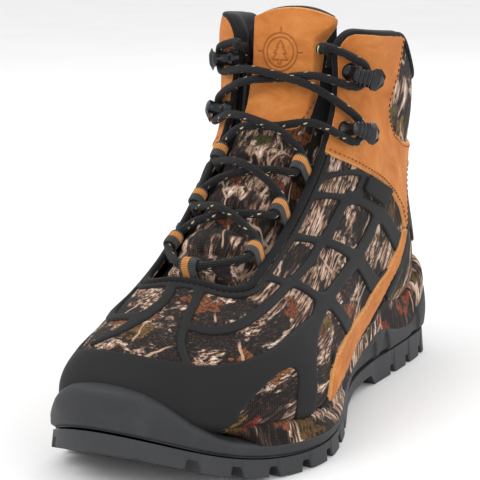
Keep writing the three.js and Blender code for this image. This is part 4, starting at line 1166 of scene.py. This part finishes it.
def through_loop(side, i):
    place_at = loop_axes(side, LOOP_STATIONS[side][i])
    return [place_at([0, LOOP_HEIGHT, MIRRORED[side] * along]) for along in (-6, -2, 2, 6)]


def round_hook(side, i):
    place_at = hook_axes(side, i)
    half_width = HOOK_WIDTH / 2 + LACE_RADIUS + 0.8
    turns = np.radians((-80, -40, 0, 40, 80))
    return [place_at([1.5 + 4.6 * math.cos(turn), HOOK_LACE_HEIGHT,
                      MIRRORED[side] * half_width * math.sin(turn)]) for turn in turns]


def across_tongue(start, end, heights):
    (from_v, from_x), (to_v, to_x) = start, end
    shares = [0.22 + 0.28 * i for i in range(3)]
    return [point_across(from_v + (to_v - from_v) * share, from_x + (to_x - from_x) * share, height)
            for share, height in zip(shares, heights)]


def lace_half(near, overs):
    """From the bottom loop up: across through each pair of loops, then round the hooks."""
    far = OTHER[near]
    loop_at = lambda side, i, above: (LOOP_STATIONS[side][i] + above, inside_edge(side, LOOP_INSET))
    hook_at = lambda side, i, above: (HOOK_STATIONS[side][i] + above, HOOK_X[side][i])
    heights = [(CROSSING if i < 2 else HOOK_CROSSING)["high" if over else "low"]
               for i, over in enumerate(overs)]
    tuck = fitting_axes(AWAY[near], 13, inside_edge(near, CROWN_SIDE_GAP / 2))
    return [
        *through_loop(near, 0),
        *across_tongue(loop_at(near, 0, 0.25), loop_at(far, 1, -0.25), heights[0]),
        *through_loop(far, 1),
        *across_tongue(loop_at(far, 1, 0.25), loop_at(near, 2, -0.25), heights[1]),
        *through_loop(near, 2),
        *across_tongue(loop_at(near, 2, 0.3), hook_at(far, 0, -0.4), heights[2]),
        *round_hook(far, 0),
        *across_tongue(hook_at(far, 0, 0.5), hook_at(near, 1, -0.6), heights[3]),
        *round_hook(near, 1),
        point_across(13.2, inside_edge(near, -5), 7.2),
        *[tuck([0, height, 0]) for height in (9.5, 5, 1, -2.5)],
        point_across(12.6, inside_edge(near, -0.5), -5.6),
        point_across(12.1, inside_edge(near, -1.5), -5.6),
    ]


bottom_axes = loop_axes("bottom", LOOP_STATIONS["bottom"])
lace_route = [*lace_half("inner", (False, True, False, True))[::-1],
              *[bottom_axes([0, LOOP_HEIGHT, along]) for along in (6, 2, -2, -6)],
              *lace_half("outer", (True, False, True, False))]


LACE_STEP, LACE_SIDES = 0.45, 20
STRAND_HEIGHT = 0.1


def lace():
    """A round braid: its strands stand a little proud of one another."""
    line = resample(smooth_line(resample(centripetal(lace_route, 12), LACE_STEP), 16), LACE_STEP)
    tangent = unit(np.gradient(line, axis=0))
    side = [unit(np.cross(tangent[0], [0.3, 0.2, 1.0]))]
    for t in tangent[1:]:
        side.append(unit(side[-1] - (side[-1] @ t) * t))
    along = BRAID_TURN * np.arange(len(line))[:, None] * LACE_STEP
    turn = np.arange(LACE_SIDES) / LACE_SIDES * 2 * np.pi
    woven = np.sin(along + BRAID_STRANDS * turn) * np.sin(along - BRAID_STRANDS * turn)
    radius = LACE_RADIUS - STRAND_HEIGHT + STRAND_HEIGHT * woven
    profile = np.stack([radius * np.cos(turn), radius * np.sin(turn)], -1)
    obj = sweep("lace", line, np.array(side), np.cross(tangent, side), profile)
    return finish_piece(obj, LACE, "boot", ("lace",)), line


lace_piece, lace_line = lace()

# ---------------------------------------------------------------- tongue

TONGUE_ARCH = np.array([(3 + 52 * math.sin(turn), 161 + 52 * math.cos(turn))
                        for turn in np.linspace(0.75, -0.75, 25)])
TONGUE_OUTLINE = np.vstack([[(-60, 50), (60, 50)], TONGUE_ARCH])
TONGUE_LEATHER = np.array([(-42, 151.5), (11, 149.5), (17, 153), (21, 163), (32, 176), (46, 184), (46, 260),
                           (-42, 260)], float)
CAMO_TOP_STATION = 9.9
EMBLEM = np.array((-4.0, 188.0))
EMBLEM_RINGS, EMBLEM_TICK_END, EMBLEM_LINE = (10.2, 7.9), 13, 0.42
TREE = np.array([(0, 6.2), (2.4, 2.6), (1.3, 2.6), (3.6, -0.8), (2.0, -0.8), (4.6, -4.2), (0.8, -4.2), (0.8, -6.4),
                 (-0.8, -6.4), (-0.8, -4.2), (-4.6, -4.2), (-2.0, -0.8), (-3.6, -0.8), (-1.3, 2.6), (-2.4, 2.6)])
TONGUE_FACE, CROWN_HEIGHT = -8.3, 6.5
PADS, PAD_HEIGHT, PAD_MIDDLE = (5.98, 7.08, 8.32), 4.3, -2.5
PAD_HALF_WIDTH, PAD_HALF_LENGTH = 20.5, 11.5


def crown_share(sheet):
    """How far up the crown a point is: the tongue is wider above the flaps' hooks."""
    return smooth_step(sheet.v, 13.25, 14.3)


def tongue_fields(sheet):
    """The tongue's outline as a field, the height of its face off the surface, and its shape from ahead."""
    at_x, at_y = sheet.point[..., 0], sheet.point[..., 1]
    front_view = sheet.true(polygon_distance(sheet.point[..., [0, 2]], TONGUE_OUTLINE))
    outline = both(both(sheet.true(29 - at_x), sheet.true(at_x + 34)),
                   both(front_view, sheet.true(at_y + 67.5)), 4)
    wide = crown_share(sheet)
    crown = both(sheet.true(18.8 + 9.0 * wide - at_x), sheet.true(at_x + 23.8))
    height = TONGUE_FACE + CROWN_HEIGHT * smooth_step(crown, -1.6, 4.2) - 1.3 * smooth_step(at_x, 17, 24) * wide
    for v in PADS:
        along = sheet.flat[..., 1] - np.interp(v, LENGTH_V, LENGTH_MM)
        spread = (np.abs((at_x - PAD_MIDDLE) / PAD_HALF_WIDTH) ** 2.2
                  + np.abs(along / PAD_HALF_LENGTH) ** 2)
        height = height + PAD_HEIGHT * np.clip(1 - spread, 0, 1) ** 0.55 * smooth_step(crown, -1, 3)
    creases = value_noise(sheet.point, 9, 21) * 0.3 + value_noise(sheet.point, 4, 22) * 0.12
    return outline, height + creases * (sheet.v < CAMO_TOP_STATION + 0.4), front_view


tongue_sheet = Sheet((4.7, LAST_STATION), (-0.30, 0.27), 0.75)
outline, face, _ = tongue_fields(tongue_sheet)
for name, field, material, slot, nodes in (
        ("tongue", both(outline, tongue_sheet.true(CAMO_TOP_STATION - tongue_sheet.v)), CAMO, "camo_fabric",
         ("tongue",)),
        ("tongue_back", both(outline, tongue_sheet.true(tongue_sheet.v - CAMO_TOP_STATION)), LINING,
         "lining_fabric", ())):
    patch = Patch(tongue_sheet, field)
    edge = patch.take(outline)
    top = patch.take(face) - 2.4 + edge_round(edge, 2.4, 2.6, 0)
    piece = layer(name, patch, top, np.minimum(top - 1.0, -13.6 + 3.6 * np.exp(-np.maximum(edge, 0) / 2.5)))
    finish_piece(piece, material, "tongue", nodes)

leather_sheet = Sheet((9.2, LAST_STATION), (-0.24, 0.26), 0.42)
outline, face, front_view = tongue_fields(leather_sheet)
front_points = leather_sheet.point[..., [0, 2]]
ragged = 0.3 * value_noise(leather_sheet.point, 1.4, 31)
low_edge = leather_sheet.true(polygon_distance(front_points, rounded(TONGUE_LEATHER, 2)))
side_edge = both(leather_sheet.true(20.2 + 8.3 * crown_share(leather_sheet) - front_points[..., 0]),
                 leather_sheet.true(front_points[..., 0] + 24.6))
leather_outline = both(low_edge, side_edge, 3)
patch = Patch(leather_sheet, both(leather_outline + ragged, front_view - 0.8))


def emblem_groove(points):
    """A sighting ring round a pine tree: how deep each point lies in the pressed lines, from 0 to 1."""
    local = points - EMBLEM
    radius = np.linalg.norm(local, axis=-1)
    lines = [np.abs(radius - ring) for ring in EMBLEM_RINGS]
    for outwards in np.array([(0, 1), (1, 0), (0, -1), (-1, 0)]):
        lines.append(line_distance(local, np.array([outwards * EMBLEM_RINGS[0], outwards * EMBLEM_TICK_END])))
    lines.append(np.abs(polygon_distance(local, TREE)))
    return np.exp(-(np.min(lines, 0) / EMBLEM_LINE) ** 2)


pressed = patch.take(emblem_groove(front_points))
top = patch.take(face) + 0.25 + edge_round(patch.depth, 1.3, 1.0, 0.5)
top += 0.25 * patch.take(value_noise(leather_sheet.point, 14, 33)) - 0.5 * pressed
tongue_leather = layer("tongue_leather", patch, top, patch.take(face) - 0.6)
mark = tongue_leather.data.attributes.new("mark", "FLOAT", "POINT")
mark.data.foreach_set("value", np.concatenate([pressed, pressed]).astype(np.float32))
finish_piece(tongue_leather, NUBUCK, "tongue", ("tongue_leather",))

below_lacing = both(leather_sheet.true(10.95 - leather_sheet.v), side_edge - 2.8)
tongue_seams = seam_lines(leather_outline, 2.6, below_lacing, leather_sheet)
finish_piece(stitches("tongue_stitching", lifted(tongue_seams, -0.15)), BROWN_THREAD, "tongue")

# ---------------------------------------------------------------- hooks


# The arm's plan and crest: distance from the throat, half width, height.
HEAD_LINE = np.array([(-3.6, 2.6, 11.0), (-3.2, 3.4, 12.0), (-2, 3.9, 12.6), (0, 4.3, 12.9), (4, 4.6, 12.9),
                      (7, 5.0, 12.8), (8.6, 6.1, 12.8), (12, 6.1, 12.4), (15.2, 3.1, 11.7), (15.6, 2.4, 11.3)])
ARM_UNDER = 10.2
TIP_START, TIP_END = 12.2, 15.6
# The post, as height, half length and half width.
POST = [(-1.5, 5.6, 5.2), (1.6, 5.6, 5.2), (2.6, 5.4, 5.0), (3.1, 4.8, 4.6), (3.4, 3.6, 4.0), (4.2, 2.7, 3.6),
        (6, 2.3, 3.4), (9, 2.4, 3.4), (10.2, 3.0, 3.7), (11.4, 3.2, 3.8)]


def hook_head():
    """The flat arm over the lace: ribbed near its post, with a bevelled six-sided tip."""
    at = np.linspace(HEAD_LINE[0, 0], TIP_END, 78)
    half, crest = (np.interp(at, HEAD_LINE[:, 0], column) for column in HEAD_LINE[:, 1:].T)
    ribbed = smooth_step(at, -1.5, -0.5) * (1 - smooth_step(at, 6.6, 7.4))
    crest = crest + ribbed * 0.45 * np.cos((at - 0.6) * 2 * np.pi / 2.6)
    share = np.linspace(-1, 1, 25)
    tip = smooth_step(at, 7.6, 8.6)[:, None]
    bevel = tip * 1.5 * np.clip((np.abs(share) - 0.45) / 0.55, 0, 1) + (1 - tip) * 1.3 * np.abs(share) ** 3
    end_bevel = 1.1 * np.clip((at - TIP_START) / (TIP_END - TIP_START), 0, 1)
    top = crest[:, None] - bevel - end_bevel[:, None] - 0.35 * np.abs(share) ** 20
    under = np.full_like(top, ARM_UNDER) + 0.5 * np.abs(share) ** 6
    along, across = np.broadcast_to(at[:, None], top.shape), share * half[:, None]
    upper_side = np.stack([along, np.maximum(top, under + 0.25), across], -1)
    lower_side = np.stack([along, under, across * 0.96], -1)[:, ::-1]
    return np.concatenate([upper_side, lower_side], 1)


def hook_post():
    """A round foot on the leather and a flattened post up to the arm."""
    turn = np.linspace(0, 2 * np.pi, 33)[:-1]
    return np.array([np.stack([half_x * np.cos(turn) - 0.4, np.full(32, height), half_z * np.sin(turn)], -1)
                     for height, half_x, half_z in POST])


def add_hook(side, i):
    points, faces = [], []
    for part_points, part_faces in (loft(hook_head()), loft(hook_post())):
        base = sum(len(p) for p in points)
        points.append(hook_axes(side, i)(part_points))
        faces += [(f if side == "outer" else f[:, ::-1]) + base for f in part_faces]
    name = f"hook_{side}_{i + 1}"
    obj = mesh_object(name, np.concatenate(points), faces, None, 28)
    finish_piece(obj, HOOK_FINISH, "boot", (name,))


for side in ("outer", "inner"):
    for i in (0, 1):
        add_hook(side, i)

# ---------------------------------------------------------------- sole


def closed_curve(points, count):
    """Points spaced evenly along a closed smooth curve."""
    line = spline_ring(points, 24)
    line = np.vstack([line, line[:1]])
    lengths = run_lengths(spacing(line))
    at = np.arange(count) / count * lengths[-1]
    return np.stack([np.interp(at, lengths, column) for column in line.T], -1)


def toe_spring(at_y):
    return TOE_SPRING_RISE * np.maximum(TOE_SPRING_START - at_y, 0) ** 2


def plate_height(at_y):
    return toe_spring(at_y) + np.interp(at_y, [-85, -8, 10, 50, 70, 165], [9, 9, 10.5, 13, 14, 15])


def tread_height(at_y):
    return toe_spring(at_y) + np.interp(at_y, [-8, 0, 56, 62, 140, 165], [0, 6, 7, 0, 0, 6])


WALL_ROWS = 26
CAST_FROM = 40.0
WALL_GROWN = 4.5


class Plan:
    """The sole's outline, with how far the upper stands out past it at a few heights."""

    def __init__(self, points):
        self.count = points
        self.line = closed_curve(SOLE_PLAN, points)
        ahead = unit(np.roll(self.line, -1, 0) - np.roll(self.line, 1, 0))
        self.outwards = np.stack([ahead[:, 1], -ahead[:, 0]], -1)
        self.around = np.arange(points) / points * np.linalg.norm(np.diff(self.line, axis=0), axis=-1).sum()
        self.low = plate_height(self.line[:, 1]) + 0.3
        self.high = np.interp(self.line[:, 1], *WALL_TOP.T)
        coarse = Sheet((0, LAST_STATION), (-1, 1), 3.0, closed=True)
        self.tree = BVHTree.FromPolygons([tuple(p) for p in coarse.point.reshape(-1, 3)],
                                         [tuple(int(i) for i in t) for t in coarse.triangles])

    def upper_past(self, height, every=3):
        """How far the upper's surface lies outside the outline, for columns of heights."""
        past = np.full(height.shape, -CAST_FROM)
        for i in range(0, self.count, every):
            inwards = Vector((*-self.outwards[i], 0))
            for j in range(height.shape[1]):
                start = Vector((*(self.line[i] + self.outwards[i] * CAST_FROM), height[i, j]))
                hit = self.tree.ray_cast(start, inwards)[3]
                past[i, j] = -CAST_FROM if hit is None else CAST_FROM - hit
        cast = np.arange(0, self.count, every)
        for j in range(height.shape[1]):
            past[:, j] = np.interp(np.arange(self.count), np.append(cast, self.count),
                                   np.append(past[cast, j], past[0, j]))
        return past

    def rings(self, out, height):
        """Points out from the outline, for columns of distances and heights."""
        return np.concatenate([self.line[:, None] + self.outwards[:, None] * out[..., None],
                               height[..., None]], -1)


def wall_push(plan, height):
    """How far the rubber stands out past the plan, before its edges are rounded."""
    return smooth_line(np.maximum(plan.upper_past(height) + WALL_GROWN, 0), 12, True)


# What is cut into the wall, as side outlines and depths.
WALL_CUTS = [
    (np.array([(66, 12), (70, 24), (78, 29), (84, 12)], float), 1.6),
    (np.array([(2, 13), (20, 16.5), (50, 21), (62, 26), (64, 12), (50, 10), (10, 8)], float), 1.4),
    (np.array([(112, 12), (118, 30), (126, 33), (128, 12)], float), 1.2),
]
WALL_BULGE, WALL_CORNER, PLATE_LINE = 1.1, 4.0, 2.2
SIPE_PITCH, SIPE_HEIGHT = 1.6, 0.09


def add_wall(plan):
    """The rubber side wall: a band round the foot with a rounded top edge."""
    share = np.linspace(0, 1, WALL_ROWS)
    low, high = plan.low, plan.high
    height = low[:, None] + (high - low)[:, None] * share
    push = wall_push(plan, height)
    side_point = np.stack([np.repeat(plan.line[:, 1:], WALL_ROWS, 1), height], -1)
    push += WALL_BULGE * np.sin(np.pi * np.clip(share * 1.15, 0, 1)) * smooth_step(high - low, 6, 24)[:, None]
    from_top = (1 - share) * (high - low)[:, None]
    corner = np.minimum(WALL_CORNER, (high - low) * 0.35)[:, None]
    push -= corner * (1 - np.sqrt(1 - np.clip(1 - from_top / corner, 0, 1) ** 2))
    push -= PLATE_LINE * np.exp(-(((height - low[:, None]) - 0.4) / 1.1) ** 2)
    for shape, amount in WALL_CUTS:
        push -= amount * smooth_step(polygon_distance(side_point, shape), -0.3, 1.2)
    sipe = SIPE_HEIGHT * np.cos((plan.around[:, None] + 2.5 * share) * 2 * np.pi / SIPE_PITCH)
    sipe *= smooth_step(share, 0.12, 0.2) * (1 - smooth_step(share, 0.72, 0.9))
    push += sipe * smooth_step(side_point[..., 0], -150, -130) * (1 - smooth_step(side_point[..., 0], -20, 0))
    out = np.concatenate([np.full((plan.count, 1), -11.0), push, push[:, -1:] - 2.5, push[:, -1:] - 8.5], 1)
    height = np.concatenate([low[:, None], height, high[:, None] + 0.25, high[:, None] + 0.6], 1)
    rings = plan.rings(out, height)
    flat = np.stack([np.repeat(plan.around, height.shape[1]), height.ravel(), np.zeros(height.size)], -1)
    faces = [grid_quads(*height.shape, closed=True)[:, [0, 3, 2, 1]]]
    obj = mesh_object("midsole", rings.reshape(-1, 3), faces, flat)
    finish_piece(obj, RUBBER, "boot", ("midsole",))


RAND_FRONT, RAND_FADE, RAND_ROWS = -122.0, 14.0, 16
RAND_HEIGHT = np.array([(-122, 5.0), (-104, 9.5), (-80, 8.5), (35, 8.5), (70, 15), (165, 15)])


def add_rand(plan):
    """The cloth band above the wall: it swells out over the rubber and tucks in against the upper."""
    share = np.linspace(0, 1, RAND_ROWS)
    tall = np.interp(plan.line[:, 1:], *RAND_HEIGHT.T)
    height = plan.high[:, None] - 1.5 + (tall + 1.5) * share
    past = smooth_line(plan.upper_past(height), 8, True)
    wall = wall_push(plan, plan.high[:, None] - 2.0)
    at_y = plan.line[:, 1:]
    fade = smooth_step(at_y, RAND_FRONT, RAND_FRONT + RAND_FADE)
    swell = np.sqrt(np.clip(1 - share ** 2.6, 0, 1))
    out = past + 0.6 + np.maximum(wall - 1.2 - past, 0.8) * swell * fade
    inner = past[:, -1:] - 1.0
    out = np.concatenate([np.minimum(out[:, :1], inner) - 1.0, out, inner], 1)
    height = np.concatenate([height[:, :1], height, height[:, -1:]], 1)
    rings = plan.rings(out, height)
    for side, sign in (("outer", 1), ("inner", -1)):
        wanted = (at_y[:, 0] > RAND_FRONT) & (sign * plan.line[:, 0] > 0)
        start = int(np.flatnonzero(wanted & ~np.roll(wanted, 1))[0])
        order = (np.arange(wanted.sum()) + start) % plan.count
        points = rings[order]
        rows, columns = points.shape[:2]
        over = run_lengths(spacing(points, 1), 1)
        flat = np.stack([np.repeat(plan.around[order], columns), over.ravel(), np.full(rows * columns, 3.0)], -1)
        ends = np.arange(columns)[None]
        faces = [grid_quads(rows, columns)[:, [0, 3, 2, 1]], ends[:, ::-1], ends + (rows - 1) * columns]
        obj = mesh_object("rand_" + side, points.reshape(-1, 3), faces, flat)
        finish_piece(obj, CAMO, "boot", ("rand_" + side,))


sole = Plan(900)
add_wall(sole)
add_rand(sole)


class PlanSheet(Sheet):
    """A level grid, seen from above."""

    def __init__(self, low, high, cell):
        across = np.arange(low[0], high[0], cell)
        along = np.arange(low[1], high[1], cell)
        grid_x, grid_y = np.meshgrid(across, along)
        self.closed = False
        self.shape = grid_x.shape
        self.point = np.stack([grid_x, grid_y, np.zeros(self.shape)], -1)
        self.normal = np.broadcast_to(np.array([0.0, 0, 1]), self.point.shape).copy()
        self.flat = self.point[..., :2]
        self.steps = [np.full(self.shape, cell)] * 2
        index = np.arange(grid_x.size).reshape(self.shape)
        self.triangles = split_cells(index[:, :-1], index[:, 1:])


GROOVE_HALF, GROOVE_DEPTH = 2.4, 5.2
# Cross grooves, as the place of each at the middle and how far it has leaned forwards at the edge.
CROSS_GROOVES = [(y_at, 11.2) for y_at in range(-134, -10, 20)] + [(y_at, -8.0) for y_at in range(84, 140, 22)]
# Long grooves, as x and the way they first bend.
LONG_GROOVES = [(-22, 1), (24, -1)]
SIPE_DEPTH, LUG_BEVEL, WAIST_BAR = 0.9, 0.8, 1.2
PLATE_LEAST = 2.0


def tread_cut(at_x, at_y, plan_field):
    """How high the tread's underside is, and how far each point lies from the nearest groove."""
    lean = np.clip((np.abs(at_x) - 18) / 62, 0, 1)
    distances = [np.abs(at_y - y_at + leaned * lean) - GROOVE_HALF for y_at, leaned in CROSS_GROOVES]
    in_lugs = (at_y > -122) & (at_y < -12) | (at_y > 78) & (at_y < 134)
    for x_at, bend in LONG_GROOVES:
        near = np.abs(at_x - x_at - bend * 2.5 * np.sin(at_y / 20 * np.pi)) - GROOVE_HALF
        distances.append(np.where(in_lugs, near, 9))
    gap = np.min(distances, 0)
    in_waist = (at_y > -4) & (at_y < 60)
    cut = GROOVE_DEPTH * (1 - smooth_step(gap, -0.5, 1.1))
    sipes = np.abs((at_y + 4) % 10 - 5)
    cut += SIPE_DEPTH * (1 - smooth_step(sipes, 0.3, 0.8)) * (gap > 2.5) * (np.abs(at_x) < 16) * ~in_waist
    cut += LUG_BEVEL * (1 - smooth_step(plan_field, 0, 1.6)) * (gap > 0.5)
    bars = WAIST_BAR * (1 - smooth_step(np.abs((at_y % 12) - 6), 1.2, 2.2)) * (plan_field > 9)
    bottom = tread_height(at_y) + np.where(in_waist, bars, cut)
    return np.minimum(bottom, plate_height(at_y) - PLATE_LEAST), gap


def add_outsole():
    """Lugs, cut out of a plate by leaning cross grooves and two long ones."""
    sheet = PlanSheet((-75, -165), (80, 172), 0.8)
    plan_field = polygon_distance(sheet.point[..., :2], closed_curve(SOLE_PLAN, 240))
    bottom, gap = tread_cut(sheet.point[..., 0], sheet.point[..., 1], plan_field)
    patch = Patch(sheet, plan_field - 0.9)
    top_points, low_points = patch.point.copy(), patch.point.copy()
    top_points[:, 2] = plate_height(patch.point[:, 1])
    low_points[:, 2] = patch.take(bottom)
    slope = unit(np.stack([patch.take(sheet.change(plan_field, axis)) for axis in (1, 0)], -1))
    rim = np.exp(-patch.depth / 1.2) * smooth_step(patch.take(gap), 0.2, 1.2)
    low_points[:, :2] -= slope * (rim * 1.1)[:, None]
    obj = mesh_object("outsole", *two_sided(patch, top_points, low_points), None, 35)
    finish_piece(obj, RUBBER, "boot", ("outsole",))


add_outsole()

# ---------------------------------------------------------------- light and floor


def area_light(name, place, size, power):
    data = bpy.data.lights.new(name, "AREA")
    data.shape = "RECTANGLE"
    data.size, data.size_y = size
    data.energy = power
    light = bpy.data.objects.new(name, data)
    light.location = place
    light.rotation_euler = (Vector((0, 0, 0.1)) - Vector(place)).to_track_quat("-Z", "Y").to_euler()
    bpy.context.scene.collection.objects.link(light)


FLOOR_HALF = 6.0


def add_studio():
    area_light("key_light", (-0.7, -1.1, 1.3), (0.9, 0.9), 11)
    area_light("fill_light", (1.4, -0.7, 0.7), (1.0, 1.0), 5)
    area_light("back_light", (0.3, 1.3, 1.1), (1.2, 0.6), 8)
    world = bpy.data.worlds.new("studio")
    world.use_nodes = True
    background = world.node_tree.nodes["Background"]
    background.inputs[0].default_value = (1, 1, 1, 1)
    background.inputs[1].default_value = 1.0
    bpy.context.scene.world = world
    bpy.context.scene.view_settings.view_transform = "Standard"
    mesh = bpy.data.meshes.new("floor")
    corners = [(x_side * FLOOR_HALF, y_side * FLOOR_HALF, 0)
               for x_side, y_side in ((-1, -1), (1, -1), (1, 1), (-1, 1))]
    mesh.from_pydata(corners, [], [(0, 1, 2, 3)])
    floor = bpy.data.objects.new("floor", mesh)
    bpy.context.scene.collection.objects.link(floor)
    g = Graph("studio_floor")
    grain = g.noise(g.place((1, 1, 1)), 6, 2)
    mesh.materials.append(g.done(grain, 0.001, 0.0, Base_Color=g.ramp(grain, (0.3, 0.84), (0.7, 0.86)),
                                 Roughness=0.9))


add_studio()

# ---------------------------------------------------------------- finishes of the CAD pieces that stay

STAYING = {
    LINING: ("toe_puff", "heel_counter", "insole_board", "insulation", "footbed"),
    HOOK_FINISH: ("shank", "aglet_inner", "aglet_outer"),
}
for material, nodes in STAYING.items():
    for node in nodes:
        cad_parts[node].data.materials.clear()
        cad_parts[node].data.materials.append(material)
